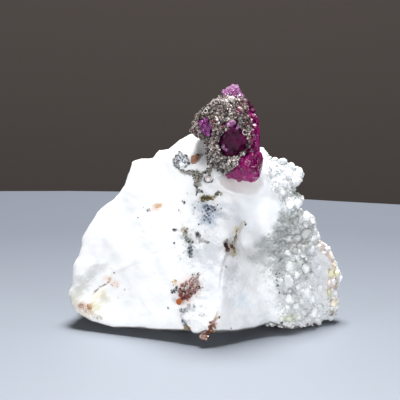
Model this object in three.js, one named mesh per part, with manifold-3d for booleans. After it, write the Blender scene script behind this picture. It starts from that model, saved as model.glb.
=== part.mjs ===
// Ruby on matrix: a hand specimen of white calcite marble with a ruby crystal group
// in a grey mica crust on top, mica grains and small brown crystals in its front, and
// rounded calcite grains over its right flank.
// Millimetres, +Z up. X is to the right as seen from the front, -Y is the front.
// The origin is the middle of the bounding box, on the surface it rests on.
import * as THREE from "three";
import { ConvexGeometry } from "three/addons/geometries/ConvexGeometry.js";
import { mergeVertices } from "three/addons/utils/BufferGeometryUtils.js";
import Module from "manifold-3d";

const wasm = await Module();
wasm.setup();

// ---------------------------------------------------------------- driving dimensions
const UNIT = 0.2007; // mm for one unit of the front drawing, which is 400 units a side
const RISE = (12 * Math.PI) / 180; // the front drawing is seen from this far above the horizon
const AWAY = 450; // and from this far away
const U0 = 205, V0 = 325.4; // where the drawing has the foot of the rock
const GAP = 0.3; // clearance between neighbouring pieces
const MARBLE_DETAIL = 13; // icosphere steps
const CRUST_DETAIL = 7;
const ROUND = 1.3; // sharpness of the marble's broken edges, 1/mm
const SET_BACK = 3; // how far the ruby group is set back along the line of sight

// ---------------------------------------------------------------- the front drawing
const RIGHT = new THREE.Vector3(1, 0, 0);
const UP = new THREE.Vector3(0, Math.sin(RISE), Math.cos(RISE));
const INTO = new THREE.Vector3(0, Math.cos(RISE), -Math.sin(RISE));
const EYE = new THREE.Vector3()
  .addScaledVector(RIGHT, (200 - U0) * UNIT)
  .addScaledVector(UP, (V0 - 200) * UNIT)
  .addScaledVector(INTO, -AWAY);

// The line of sight through a point of the drawing.
function sight(u, v) {
  return new THREE.Vector3()
    .addScaledVector(INTO, AWAY)
    .addScaledVector(RIGHT, (u - 200) * UNIT)
    .addScaledVector(UP, (200 - v) * UNIT)
    .normalize();
}

// The point of the drawing that lies at depth y.
function seen(u, v, y) {
  const d = sight(u, v);
  return EYE.clone().addScaledVector(d, (y - EYE.y) / d.y);
}

// ---------------------------------------------------------------- small helpers
function warp(p, scale, seed) {
  const x = p.x * scale, y = p.y * scale, z = p.z * scale;
  return (
    (Math.sin(1.7 * x + 1.3 * y + seed) +
      Math.sin(1.1 * y - 1.9 * z + 2.1 * seed) +
      Math.sin(1.5 * z + 2.3 * x - 1.4 * seed) +
      0.6 * Math.sin(3.1 * x - 2.7 * z + 0.7 * seed) +
      0.6 * Math.sin(2.9 * y + 3.3 * z + 1.9 * seed)) /
    4.2
  );
}

function solidFrom(geometry) {
  const g = geometry.clone();
  for (const name of Object.keys(g.attributes))
    if (name !== "position") g.deleteAttribute(name);
  const m = mergeVertices(g, 1e-4);
  return new wasm.Manifold(
    new wasm.Mesh({
      numProp: 3,
      vertProperties: new Float32Array(m.attributes.position.array),
      triVerts: new Uint32Array(m.index.array),
    }),
  );
}

function geometryFrom(solid) {
  const m = solid.getMesh(), n = m.numProp;
  const at = new Float32Array(m.numVert * 3);
  for (let i = 0; i < m.numVert; i++)
    at.set(m.vertProperties.subarray(i * n, i * n + 3), i * 3);
  const g = new THREE.BufferGeometry()
    .setAttribute("position", new THREE.BufferAttribute(at, 3))
    .setIndex(new THREE.BufferAttribute(new Uint32Array(m.triVerts), 1));
  const flat = g.toNonIndexed();
  flat.computeVertexNormals();
  return flat;
}

// The largest body of a solid, without the slivers a cut may leave.
function main(solid) {
  const found = solid.decompose();
  found.sort((a, b) => b.volume() - a.volume());
  return found[0];
}

function hull(points) {
  return new ConvexGeometry(points);
}

// Points moved out from their middle, for the socket that a crystal sits in.
function grown(points, by) {
  const c = new THREE.Vector3();
  points.forEach((p) => c.addScaledVector(p, 1 / points.length));
  return points.map((p) => {
    const d = p.clone().sub(c);
    return c.clone().addScaledVector(d, 1 + by / Math.max(d.length() * 0.8, 0.2));
  });
}

// ---------------------------------------------------------------- the marble
const CORE = new THREE.Vector3()
  .addScaledVector(RIGHT, (207 - U0) * UNIT)
  .addScaledVector(UP, (V0 - 250) * UNIT);

// Its outline as seen from the front: drawing x, drawing y, and how far back that edge lies.
const OUTLINE = [
  [189.6, 125.9, 0], [199.2, 123.3, 0], [215.4, 128.6, 0], [235.9, 136.6, 0], [256.5, 142.8, 0.5],
  [263.3, 146.3, 1], [268.6, 160.3, 1.5], [279.4, 160.5, 2], [289.2, 160.4, 2], [296.7, 164.6, 2],
  [299.7, 170.4, 2], [306.2, 172.8, 2], [291, 192, 2.5], [293.4, 193.4, 3], [304.3, 196, 2.5],
  [289.1, 212.4, 2], [312.3, 215.4, 1.5], [311.3, 227.1, 1], [317.6, 238.4, 1], [330.7, 249, 1],
  [338.1, 258.4, 1], [340.5, 267, 1], [341.6, 274, 1], [339.1, 282, 1], [337.9, 291.4, 1],
  [338.2, 299.5, 1], [343, 307.5, 2], [344, 315, 3], [338.7, 316.9, 1], [326.1, 318.7, -2],
  [322.5, 325.8, -6], [307.8, 326.9, -9], [293, 329.3, -11], [281.2, 327.3, -11], [271.9, 324, -11],
  [254.8, 329.4, -13], [238, 331.7, -15], [217.1, 332.6, -16], [199.9, 332.7, -16],
  [181.7, 331.6, -15.5], [159.3, 331.1, -14.5], [137.5, 328.6, -13], [113.2, 328.2, -11],
  [94.1, 324.3, -8.5], [78.7, 322.2, -6], [67, 316, -4], [56.7, 308.5, -2.5], [57.4, 300.1, -2],
  [68.2, 286.6, -1.8], [69.6, 276.5, -1.5], [71.6, 266.2, -1.3], [77.2, 257.1, -1.2], [79.6, 247, -1],
  [80.2, 238.2, -1], [82.2, 228, -0.7], [82.6, 218.8, -0.5], [94.1, 210.8, 0], [103.9, 204.3, 0.2],
  [113.5, 199.5, 0.5], [120.2, 192.5, 0.8], [125.3, 185.4, 1], [126.4, 172.6, 1.5],
  [127.7, 165.5, 1.8], [129.7, 158.7, 2], [138.8, 155.5, 1.8], [154.2, 159.6, 1.5], [159.2, 150, 1.2],
  [171.8, 156.5, 1], [178.1, 141, 0.5],
];

// How fast the side walls lean in, towards the front and towards the back, by angle.
const LEAN = [
  [-180, 0.35, 0.45], [-145, 0.2, 0.08], [-90, 0.2, 0.0], [-40, 0.2, 0.05], [-24, 0.3, 0.3],
  [0, 0.45, 0.55], [45, 0.5, 0.6], [90, 0.7, 0.5], [140, 0.45, 0.5], [180, 0.35, 0.45],
];
function lean(angle) {
  const t = (angle * 180) / Math.PI;
  for (let i = 1; i < LEAN.length; i++)
    if (t <= LEAN[i][0]) {
      const k = (t - LEAN[i - 1][0]) / (LEAN[i][0] - LEAN[i - 1][0]);
      return [
        LEAN[i - 1][1] + k * (LEAN[i][1] - LEAN[i - 1][1]),
        LEAN[i - 1][2] + k * (LEAN[i][2] - LEAN[i - 1][2]),
      ];
    }
  return [0.35, 0.45];
}

function rim(da, db) {
  for (let i = 0; i < RIM.length; i++) {
    const p = RIM[i], q = RIM[(i + 1) % RIM.length];
    const ea = q.a - p.a, eb = q.b - p.b;
    const det = da * eb - db * ea;
    if (Math.abs(det) < 1e-12) continue;
    const t = (p.a * eb - p.b * ea) / det;
    const s = (p.a * db - p.b * da) / det;
    if (t > 0 && s >= -1e-9 && s <= 1 + 1e-9) return [t, p.c + s * (q.c - p.c)];
  }
  throw new Error("the outline is open");
}

// Broken faces: outward normal, a point on the face, and how wavy it is.
const FACES = [
  [[-0.433, -0.86, 0.268], [0, -16, 2], 0.35], // big bright left front
  [[-0.7, -0.69, 0.1], [-22.3, -8.9, 2.4], 0.3], // low left corner
  [[0.6, -0.8, 0.04], [3, -15.7, 5], 0.3], // right side of the front spur
  [[0.3, -0.9, 0.3], [19, -8.5, 13], 0.5], // grainy flank, front
  [[0.88, -0.38, 0.28], [26.6, 0, 11], 0.5], // grainy flank, right
  [[0.12, -0.66, 0.74], [6, -10, 28.9], 0.4], // slope under the ruby
  [[0.5, -0.3, 0.81], [18, 1, 34], 0.5], // upper right shoulder
  [[-0.5, -0.2, 0.84], [-14, 0.5, 33.8], 0.3], // upper left shoulder
  [[-0.28, 0.9, 0.33], [-6, 18.5, 12], 0.6], // back, left
  [[0.42, 0.86, 0.28], [12, 16.5, 12], 0.6], // back, right
  [[0.05, 0.62, 0.78], [0, 7, 35.5], 0.5], // back, top
  [[-0.8, 0.42, 0.42], [-23.2, 9, 15], 0.5], // back of the left end
  [[0.88, 0.33, 0.3], [25.5, 8, 13], 0.6], // back of the right end
  [[0.1, 0.8, -0.59], [0, 17.8, 6], 0.4], // undercut at the back
  [[0.75, 0.3, -0.59], [26, 6, 3.4], 0.3], // undercut at the right
  [[-0.6, 0.1, -0.79], [-23, 4, 2.6], 0.3], // undercut at the left
].map(([n, p, wavy], i) => ({
  n: new THREE.Vector3(...n).normalize(),
  p: new THREE.Vector3(...p),
  wavy,
  seed: 3.7 * i + 1,
}));

// The outline in space: each of its points stays on the rock side of every broken face.
const RIM = OUTLINE.map(([u, v, y]) => {
  let at = y;
  for (let k = 0; k < 3; k++)
    for (const f of FACES) {
      const p = seen(u, v, at), d = sight(u, v), toward = f.n.dot(d);
      const over = f.n.dot(p.clone().sub(f.p)) + 0.45;
      if (over > 0 && Math.abs(toward) > 0.25) at -= THREE.MathUtils.clamp((over / toward) * d.y, -4, 4);
    }
  const p = seen(u, v, at).sub(CORE);
  return { a: p.dot(RIGHT), b: p.dot(UP), c: p.dot(INTO) };
});

// Hollows and swellings: middle, reach, depth.
const SWELLS = [
  [seen(262, 232, -8.5), 5.2, -3.6], // the smooth bay right of the spur
  [seen(276, 238, -8), 4.6, -3.4],
  [seen(280, 262, -9), 4.4, -2.2],
  [seen(268, 205, -6), 4.5, -2.2],
  [seen(262, 290, -12), 5.5, -1.4],
  [seen(305, 262, -6), 5.5, 1.2], // the grainy flank stands out again
  [seen(300, 305, -8), 5, 0.8],
  [seen(215, 262, -14), 4.5, 0.8], // the spur
  [seen(228, 222, -11), 3.6, 0.9],
  [seen(150, 250, -10), 9, 0.7], // the left face swells
  [seen(185, 180, -5), 5, -0.7],
  [seen(80, 285, -4), 4, -0.6],
  [new THREE.Vector3(2, 17, 20), 7, -2.2],
  [new THREE.Vector3(-13, 14, 9), 6, 1.2],
  [new THREE.Vector3(17, 12, 20), 6, -1.3],
];

// The outline by angle, with its small steps and without them.
const STEPS = 720;
const TABLE = Array.from({ length: STEPS }, (_, i) => {
  const t = (2 * Math.PI * i) / STEPS;
  return rim(Math.cos(t), Math.sin(t));
});
const SMOOTH = TABLE.map((_, i) => {
  let r = 0, c = 0;
  for (let k = -54; k <= 54; k++) {
    const [x, y] = TABLE[(i + k + STEPS) % STEPS];
    r += x / 109;
    c += y / 109;
  }
  return [r, c];
});

function marbleRadius(d) {
  const da = d.dot(RIGHT), db = d.dot(UP), dc = d.dot(INTO);
  const flat = Math.max(Math.hypot(da, db), 1e-6);
  const [R0, C0] = rim(da / flat, db / flat);
  const turn = ((Math.atan2(db, da) / (2 * Math.PI)) * STEPS + STEPS) % STEPS;
  const [Rs, Cs] = SMOOTH[Math.round(turn) % STEPS];
  const far =
    THREE.MathUtils.smoothstep(Math.abs(dc) / flat, 0.06, 0.5) *
    THREE.MathUtils.smoothstep(db / flat, -0.2, 0.15);
  const R = R0 + (Rs - R0) * far + 0.3, c0 = C0 + (Cs - C0) * far;
  const [front, back] = lean(Math.atan2(db, da));
  const r = [];
  if (flat + back * dc > 1e-3) r.push((R + back * c0) / (flat + back * dc));
  if (flat - front * dc > 1e-3) r.push((R - front * c0) / (flat - front * dc));
  for (const f of FACES) {
    const k = f.n.dot(d);
    if (k > 1e-3) {
      const reach = f.n.dot(f.p.clone().sub(CORE)) / k;
      const at = CORE.clone().addScaledVector(d, Math.min(reach, 40));
      r.push(reach + f.wavy * warp(at, 0.22, f.seed) + 0.4 * f.wavy * warp(at, 0.6, f.seed + 9));
    }
  }
  const least = Math.min(...r);
  let sum = 0;
  for (const x of r) sum += Math.exp(-ROUND * (x - least));
  let out = least - Math.log(sum) / ROUND;
  const p = CORE.clone().addScaledVector(d, out);
  for (const [c, w, amount] of SWELLS) out += amount * Math.exp(-p.distanceToSquared(c) / (w * w));
  return out;
}

function star(detail, centre, radius) {
  const g = new THREE.IcosahedronGeometry(1, detail);
  const at = g.getAttribute("position");
  const d = new THREE.Vector3();
  for (let i = 0; i < at.count; i++) {
    d.fromBufferAttribute(at, i).normalize();
    const r = radius(d);
    at.setXYZ(i, centre.x + r * d.x, centre.y + r * d.y, centre.z + r * d.z);
  }
  return g;
}

const ground = new THREE.BoxGeometry(200, 200, 40).translate(0, 0, -20);
const rock = star(MARBLE_DETAIL, CORE, marbleRadius);
let marble = solidFrom(rock);

// The surface under a point of the drawing.
const target = new THREE.Mesh(rock, new THREE.MeshBasicMaterial({ side: THREE.DoubleSide }));
const ray = new THREE.Raycaster();
function onRock(u, v) {
  for (let k = 0; k < 12; k++) {
    ray.set(EYE, sight(u + (230 - u) * 0.012 * k, v + (235 - v) * 0.012 * k));
    const hit = ray.intersectObject(target)[0];
    if (hit) return { p: hit.point.clone(), n: hit.face.normal.clone() };
  }
  throw new Error("no rock at " + u + ", " + v);
}

// ---------------------------------------------------------------- calcite grains on the flank
// The largest of the rounded grains: drawing x, drawing y, radius in mm.
const GRAINS = [
  [281, 160, 1.3], [297, 171, 1.3], [300, 176, 1.5], [272, 158, 1.0], [290, 163, 1.0],
  [296, 186, 1.1], [297, 204, 1.2], [291, 205, 1.1], [289, 190, 0.9], [284, 176, 1.0],
  [303, 222, 1.2], [310, 228, 1.2], [306, 236, 1.3], [298, 232, 1.0], [312, 243, 1.1],
  [318, 240, 1.0], [297, 248, 1.1], [309, 255, 1.3], [285, 258, 0.9], [322, 252, 1.1],
  [326, 262, 1.2], [302, 270, 1.3], [313, 272, 1.3], [291, 280, 1.2], [300, 290, 1.4],
  [311, 297, 1.4], [290, 303, 1.2], [322, 285, 1.2], [305, 316, 1.6], [296, 318, 1.1],
  [318, 310, 1.4], [330, 276, 1.1], [330, 297, 1.1], [285, 320, 1.1], [327, 308, 1.2],
];
for (const [u, v, r] of GRAINS) {
  const { p, n } = onRock(u, v);
  const g = new THREE.OctahedronGeometry(r * 1.08, 1).rotateX(u).rotateY(v);
  const at = g.getAttribute("position"), q = new THREE.Vector3();
  for (let i = 0; i < at.count; i++) {
    q.fromBufferAttribute(at, i);
    q.multiplyScalar(1 + 0.16 * warp(q, 1.6 / r, u * 0.31 + v * 0.17));
    at.setXYZ(i, q.x, q.y, q.z);
  }
  g.translate(p.x + n.x * r * 0.15, p.y + n.y * r * 0.15, p.z + n.z * r * 0.15);
  marble = marble.add(solidFrom(g));
}
marble = marble.subtract(solidFrom(ground));

// ---------------------------------------------------------------- the ruby
// Corners as drawing x, drawing y and depth.
const corners = (list, back = SET_BACK) => list.map(([u, v, y]) => seen(u, v, y + back));
const RUBY = {
  // the tapered main crystal, with the dark face that looks to the front
  main: corners([
    [216, 156, -12.0], [215, 128, -11.2], [232, 163, -12.8], [244, 153, -12.6], [247.5, 132, -11.6],
    [228, 112, -9.8], [241, 106, -8.2], [232, 103, -4], [246, 107, -4], [256, 116, -7.5],
    [260, 128, -8.5], [260, 152, -9], [259, 128, -2], [258, 165, -1], [240, 172, 0],
    [218, 150, 0], [216, 128, -3], [222, 168, -7], [240, 174, -10],
  ]),
  // the paler block low on the right
  block: corners([
    [226, 170, -12.5], [240, 160, -14.4], [251, 153, -13.6], [260, 153.5, -11], [263.5, 158, -10],
    [262.5, 166, -10.6], [259.5, 177.5, -11.4], [255, 181.8, -12], [246, 181, -13.6],
    [234, 179.4, -13.4], [225.5, 176.2, -12], [256, 172, -15], [243, 170, -15.4], [232, 174, -5],
    [256, 176, -4.5], [262, 160, -4.5], [238, 158, -5],
  ]),
  // the step on the right edge
  edge: corners([
    [250, 114, -8.5], [254.5, 112.5, -7], [259, 121, -8.2], [260.3, 137, -9.4], [259.8, 150, -10],
    [250, 150, -12.4], [249, 128, -11.6], [254, 124, -3.5], [256, 148, -3.5],
  ]),
  // the small crystals at the tip
  tip: corners([
    [224.5, 90, -7.4], [224, 97, -8], [228, 87, -6.4], [233.5, 84.6, -6], [239.5, 88, -6],
    [243, 95, -6.6], [245.5, 99, -5], [236, 110, -8.6], [228, 106, -7.6], [232, 88, -2.6],
    [243, 110, -4.4], [230, 108, -4.2],
  ]),
};
let ruby = null, rubySocket = null;
for (const part of Object.values(RUBY)) {
  const a = solidFrom(hull(part)), b = solidFrom(hull(grown(part, GAP)));
  ruby = ruby ? ruby.add(a) : a;
  rubySocket = rubySocket ? rubySocket.add(b) : b;
}

// A second, small crystal that shows at the left of the crust.
const SMALL_RUBY = corners([
  [199.8, 121, -10.6], [207.5, 119.3, -11], [211.2, 126, -11.2], [209.8, 133.7, -11],
  [202.2, 134.2, -10.4], [199.3, 128, -10.4], [206, 125.5, -12.2], [201, 122, -6], [208, 121, -6],
  [208.5, 132, -6], [202, 132, -6],
]);
const smallRuby = solidFrom(hull(SMALL_RUBY));
const smallRubySocket = solidFrom(hull(grown(SMALL_RUBY, GAP)));

// ---------------------------------------------------------------- the mica crust
const CRUST_CORE = seen(222, 136, -7.5 + SET_BACK);
const CRUST_RIM = [
  [231, 97, -6], [224, 96.5, -6], [219, 98.5, -6], [212, 103, -6.5], [205, 108.5, -7], [198, 114.5, -7],
  [193, 120.5, -7], [190.5, 128, -6.5], [192, 133, -6.5], [196.5, 136, -6.5], [205, 139.5, -8],
  [206.5, 148, -9], [208, 158, -10], [210, 165.5, -11], [216, 167, -11.5], [222.5, 172, -11.5],
  [226, 174.5, -12.5], [233, 168, -13.5], [241.5, 162.5, -13.5], [248.5, 152, -13.2], [252.5, 141, -12.8],
  [254, 126, -12], [252.5, 115, -11], [249, 104, -9.5], [244, 98.5, -8],
].map(([u, v, y]) => {
  const p = seen(u, v, y + SET_BACK).sub(CRUST_CORE);
  return { a: p.dot(RIGHT), b: p.dot(UP), c: p.dot(INTO) };
});
function crustRim(da, db) {
  for (let i = 0; i < CRUST_RIM.length; i++) {
    const p = CRUST_RIM[i], q = CRUST_RIM[(i + 1) % CRUST_RIM.length];
    const ea = q.a - p.a, eb = q.b - p.b, det = da * eb - db * ea;
    if (Math.abs(det) < 1e-12) continue;
    const t = (p.a * eb - p.b * ea) / det, s = (p.a * db - p.b * da) / det;
    if (t > 0 && s >= -1e-9 && s <= 1 + 1e-9) return [t, p.c + s * (q.c - p.c)];
  }
  throw new Error("the crust's outline is open");
}
const CRUST_FACES = [
  [[-0.35, -0.93, 0.1], [216, 150, -13.6]], // over the lower left of the ruby
  [[0.05, -0.92, 0.38], [236, 116, -12.4]], // over its upper part
  [[-0.55, -0.75, 0.36], [204, 117, -11.2]], // the lobe on the left
  [[0.2, -0.98, -0.05], [240, 156, -14.8]], // under the dark face
  [[0.0, 0.9, 0.44], [222, 115, -2.4]], // its back
  [[-0.5, 0.85, 0.1], [200, 130, -3.4]],
  [[0.45, 0.85, 0.2], [245, 130, -3]],
].map(([n, [u, v, y]]) => [n, seen(u, v, y + SET_BACK)]).map(([n, p], i) => ({ n: new THREE.Vector3(...n).normalize(), p, seed: 2.3 * i + 40 }));
const CRUST_SWELLS = [
  [[234, 140, -13.6], 3.2, -4.2], // the window over the dark face
  [[224, 139, -13.2], 1.6, -1.7],
  [[243, 136, -13.4], 1.6, -1.7],
  [[231, 151, -14], 1.9, -1.8],
  [[205, 127, -10.8], 1.5, -1.7], // round the small crystal
  [[226, 110, -11.5], 2.4, 0.5],
  [[243, 118, -12], 1.8, 0.4],
  [[212, 158, -12.5], 2.2, 0.4],
].map(([[u, v, y], w, amount]) => [seen(u, v, y + SET_BACK), w, amount]);
function crustRadius(d) {
  const da = d.dot(RIGHT), db = d.dot(UP), dc = d.dot(INTO);
  const flat = Math.max(Math.hypot(da, db), 1e-6);
  const [R, c0] = crustRim(da / flat, db / flat);
  const r = [], front = 0.12, back = 0.35;
  if (flat + back * dc > 1e-3) r.push((R + back * c0) / (flat + back * dc));
  if (flat - front * dc > 1e-3) r.push((R - front * c0) / (flat - front * dc));
  for (const f of CRUST_FACES) {
    const k = f.n.dot(d);
    if (k > 1e-3) r.push(f.n.dot(f.p.clone().sub(CRUST_CORE)) / k);
  }
  const least = Math.min(...r);
  let sum = 0;
  for (const x of r) sum += Math.exp(-3.5 * (x - least));
  let out = least - Math.log(sum) / 3.5;
  const p = CRUST_CORE.clone().addScaledVector(d, out);
  for (const [c, w, amount] of CRUST_SWELLS) out += amount * Math.exp(-p.distanceToSquared(c) / (w * w));
  return Math.max(out + 0.24 * warp(p, 1.5, 5), 0.6);
}
const crustBlob = solidFrom(star(CRUST_DETAIL, CRUST_CORE, crustRadius));
const crustSocket = solidFrom(star(CRUST_DETAIL, CRUST_CORE, (d) => crustRadius(d) + GAP));
const crust = main(crustBlob.subtract(rubySocket).subtract(smallRubySocket));

// ---------------------------------------------------------------- small crystals in the marble
// name: drawing x, drawing y, half sizes across and up the drawing, half depth, turn in degrees, sides
const SMALL = {
  mica_patch: [179.5, 161.5, 1.7, 1.9, 0.9, 25, 7],
  amber_grain_upper: [194.5, 158.5, 0.75, 0.95, 0.8, -20, 6],
  mica_vein_upper: [192.5, 177, 1.3, 2.2, 0.7, 38, 7],
  olive_grain_left: [201.3, 199.3, 0.62, 0.7, 0.6, 0, 7],
  olive_grain_right: [207.6, 198.4, 0.6, 0.7, 0.6, 15, 7],
  mica_vein_middle: [208.5, 210, 1.1, 1.9, 0.6, 20, 7],
  mica_vein_lower: [189, 243, 1.2, 2.6, 0.6, 10, 7],
  brown_grain_spur: [228.5, 245.5, 0.95, 1.1, 0.9, 20, 6],
  brown_mica_cluster: [190.5, 289.5, 1.75, 2.9, 1.3, -38, 8],
  amber_grain_lower: [181, 302, 0.8, 0.95, 0.9, -15, 7],
  brown_grain_foot_left: [187.5, 324.5, 0.7, 1.2, 0.7, 30, 6],
  brown_grain_foot_right: [213.5, 321.5, 0.85, 1.6, 0.8, -30, 6],
};
function pebble(u, v, across, up, deep, turn, sides) {
  const { p, n } = onRock(u, v);
  const side = new THREE.Vector3().crossVectors(UP, n).normalize();
  const rise = new THREE.Vector3().crossVectors(n, side).normalize();
  const t = (turn * Math.PI) / 180;
  const points = [];
  for (let i = 0; i < sides; i++)
    for (const [k, h] of [[0.62, 0.95], [1, 0.25], [0.9, -0.6], [0.45, -1]]) {
      const angle = (2 * Math.PI * (i + 0.17 * Math.sin(5.1 * i + u))) / sides;
      const x = Math.cos(angle) * across * k * (1 + 0.1 * Math.sin(3 * i + v));
      const y = Math.sin(angle) * up * k * (1 + 0.1 * Math.cos(2 * i + u));
      points.push(
        p.clone()
          .addScaledVector(side, x * Math.cos(t) - y * Math.sin(t))
          .addScaledVector(rise, x * Math.sin(t) + y * Math.cos(t))
          .addScaledVector(n, deep * h),
      );
    }
  return points;
}

const pieces = [];
marble = marble.subtract(crustSocket).subtract(rubySocket);
for (const [name, numbers] of Object.entries(SMALL)) {
  const points = pebble(...numbers);
  const socket = solidFrom(hull(grown(points, GAP)));
  for (const other of pieces)
    if (!other[1].intersect(socket).isEmpty()) other[1] = main(other[1].subtract(socket));
  pieces.push([name, solidFrom(hull(points)).subtract(crustSocket)]);
  marble = marble.subtract(socket);
}

// The knob of brown mica that stands out at the foot, clear of the surface it rests on.
const KNOB_AT = seen(207, 336.2, -16.2);
const KNOB = [];
for (const [ring, height] of [[0.55, -0.95], [0.95, -0.45], [1, 0.2], [0.75, 0.9], [0.5, 1.7]])
  for (let i = 0; i < 7; i++) {
    const t = (2 * Math.PI * (i + 0.2 * Math.sin(4 * i + 9 * height))) / 7;
    KNOB.push(
      new THREE.Vector3(
        KNOB_AT.x + 1.4 * ring * Math.cos(t),
        KNOB_AT.y + 1.25 * ring * Math.sin(t) + (height > 0 ? 0.5 * height : 0),
        KNOB_AT.z + 1.05 * height,
      ),
    );
  }
const knobSocket = solidFrom(hull(grown(KNOB, GAP)));
for (const other of pieces)
  if (!other[1].intersect(knobSocket).isEmpty()) other[1] = main(other[1].subtract(knobSocket));
pieces.push(["brown_knob_foot", solidFrom(hull(KNOB))]);
marble = main(marble.subtract(knobSocket));

pieces.unshift(
  ["marble_matrix", marble],
  ["mica_crust", crust],
  ["ruby_crystal", ruby],
  ["ruby_crystal_small", smallRuby],
);

// ---------------------------------------------------------------- looks and assembly
const COLOUR = {
  marble_matrix: [0xf2f3f5, 0.55, 0],
  mica_crust: [0x8d8478, 0.6, 0.15],
  ruby_crystal: [0x9c1560, 0.15, 0],
  ruby_crystal_small: [0x7a2a80, 0.15, 0],
  mica: [0x84847f, 0.45, 0.2],
  olive: [0x6d6135, 0.35, 0],
  amber: [0xb0592b, 0.25, 0],
  brown: [0x8a4a35, 0.35, 0],
};
const group = new THREE.Group();
const whole = new THREE.Box3();
for (const [name, solid] of pieces) {
  const kind = COLOUR[name] ? name : name.split("_")[0];
  const [color, roughness, metalness] = COLOUR[kind];
  const mesh = new THREE.Mesh(
    geometryFrom(solid),
    new THREE.MeshStandardMaterial({ color, roughness, metalness, flatShading: true }),
  );
  mesh.name = name;
  mesh.geometry.computeBoundingBox();
  whole.union(mesh.geometry.boundingBox);
  group.add(mesh);
}
group.position.set(-(whole.min.x + whole.max.x) / 2, -(whole.min.y + whole.max.y) / 2, -whole.min.z);
group.name = "ruby_on_matrix";

export default group;
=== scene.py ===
# Looks for a ruby on matrix: white calcite marble, a ruby group in a grey mica crust,
# mica, amber, olive and brown grains, and knobbly calcite over the right flank.
# Lengths in the helpers are millimetres in the frame of the front drawing, which is 400 units
# a side; the pieces are written in metres in the frame of the part.
import math

import bmesh
import bpy
import numpy as np
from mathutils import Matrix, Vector
from mathutils.bvhtree import BVHTree


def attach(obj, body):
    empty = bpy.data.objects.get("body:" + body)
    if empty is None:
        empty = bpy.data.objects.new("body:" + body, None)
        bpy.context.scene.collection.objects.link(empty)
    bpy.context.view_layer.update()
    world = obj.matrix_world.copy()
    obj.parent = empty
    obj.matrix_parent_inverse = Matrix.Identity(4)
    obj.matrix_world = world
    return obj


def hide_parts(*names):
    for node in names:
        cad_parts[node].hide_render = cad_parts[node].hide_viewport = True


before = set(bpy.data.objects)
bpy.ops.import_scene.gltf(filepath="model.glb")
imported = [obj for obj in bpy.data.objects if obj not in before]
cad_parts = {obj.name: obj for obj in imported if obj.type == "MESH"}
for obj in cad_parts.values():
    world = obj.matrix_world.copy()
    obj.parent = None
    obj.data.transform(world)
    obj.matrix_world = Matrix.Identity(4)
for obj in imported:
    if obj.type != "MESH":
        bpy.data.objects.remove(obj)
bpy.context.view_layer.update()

# ------------------------------------------------------------------ the front drawing
UNIT = 0.2007
RISE = math.radians(12)
AWAY = 450.0
U0, V0 = 205.0, 325.4
SHIFT = np.array([0.34255, -1.37167, 0.0])  # from the drawing's frame to the part's, mm
RIGHT = np.array([1.0, 0.0, 0.0])
UP = np.array([0.0, math.sin(RISE), math.cos(RISE)])
INTO = np.array([0.0, math.cos(RISE), -math.sin(RISE)])
EYE = RIGHT * (200 - U0) * UNIT + UP * (V0 - 200) * UNIT - INTO * AWAY


def unit(a):
    a = np.asarray(a, float)
    return a / np.linalg.norm(a, axis=-1, keepdims=True)


def sight(u, v):
    return unit(INTO * AWAY + RIGHT * (u - 200) * UNIT + UP * (200 - v) * UNIT)


def seen(u, v, y):
    d = sight(u, v)
    return EYE + d * ((y - EYE[1]) / d[1])


def drawn(p):
    q = p - EYE
    far = q @ INTO
    return 200 + (q @ RIGHT) * AWAY / far / UNIT, 200 - (q @ UP) * AWAY / far / UNIT


# ------------------------------------------------------------------ noise
def lattice(i, j, k, seed):
    h = (i * 374761393 + j * 668265263 + k * 2147483647 + seed * 1274126177) & 0xFFFFFFFF
    h = ((h ^ (h >> 13)) * 1274126177) & 0xFFFFFFFF
    h = h ^ (h >> 16)
    return (h & 0xFFFFFF) / float(0x1000000)


def noise(p, freq, seed=0):
    q = p * freq
    i = np.floor(q).astype(np.int64)
    f = q - i
    w = f * f * (3 - 2 * f)
    out = np.zeros(len(p))
    for a in (0, 1):
        for b in (0, 1):
            for c in (0, 1):
                k = (
                    (w[:, 0] if a else 1 - w[:, 0])
                    * (w[:, 1] if b else 1 - w[:, 1])
                    * (w[:, 2] if c else 1 - w[:, 2])
                )
                out += k * lattice(i[:, 0] + a, i[:, 1] + b, i[:, 2] + c, seed)
    return out * 2 - 1


def fbm(p, freq, seed=0, octaves=3, gain=0.5):
    out = np.zeros(len(p))
    k = 1.0
    for o in range(octaves):
        out += k * noise(p, freq * 2**o, seed + 17 * o)
        k *= gain
    return out


def cells(p, size, seed=0, jitter=0.9):
    """Distance to the nearest and the second nearest cell point, a number of that cell, and the way to it."""
    q = p / size
    i = np.floor(q).astype(np.int64)
    one = np.full(len(p), 9.0)
    two = np.full(len(p), 9.0)
    label = np.zeros(len(p))
    way = np.zeros_like(p)
    for a in (-1, 0, 1):
        for b in (-1, 0, 1):
            for c in (-1, 0, 1):
                x, y, z = i[:, 0] + a, i[:, 1] + b, i[:, 2] + c
                r = np.stack([lattice(x, y, z, seed + s) for s in (1, 2, 3)], 1)
                centre = np.stack([x, y, z], 1) + 0.5 + jitter * (r - 0.5)
                d = np.linalg.norm(q - centre, axis=1)
                near = d < one
                two = np.where(near, one, np.minimum(two, d))
                one = np.where(near, d, one)
                label = np.where(near, lattice(x, y, z, seed + 7), label)
                way[near] = (q - centre)[near]
    return one * size, two * size, label, way * size


def smooth(x, lo, hi):
    t = np.clip((x - lo) / (hi - lo), 0, 1)
    return t * t * (3 - 2 * t)


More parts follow.
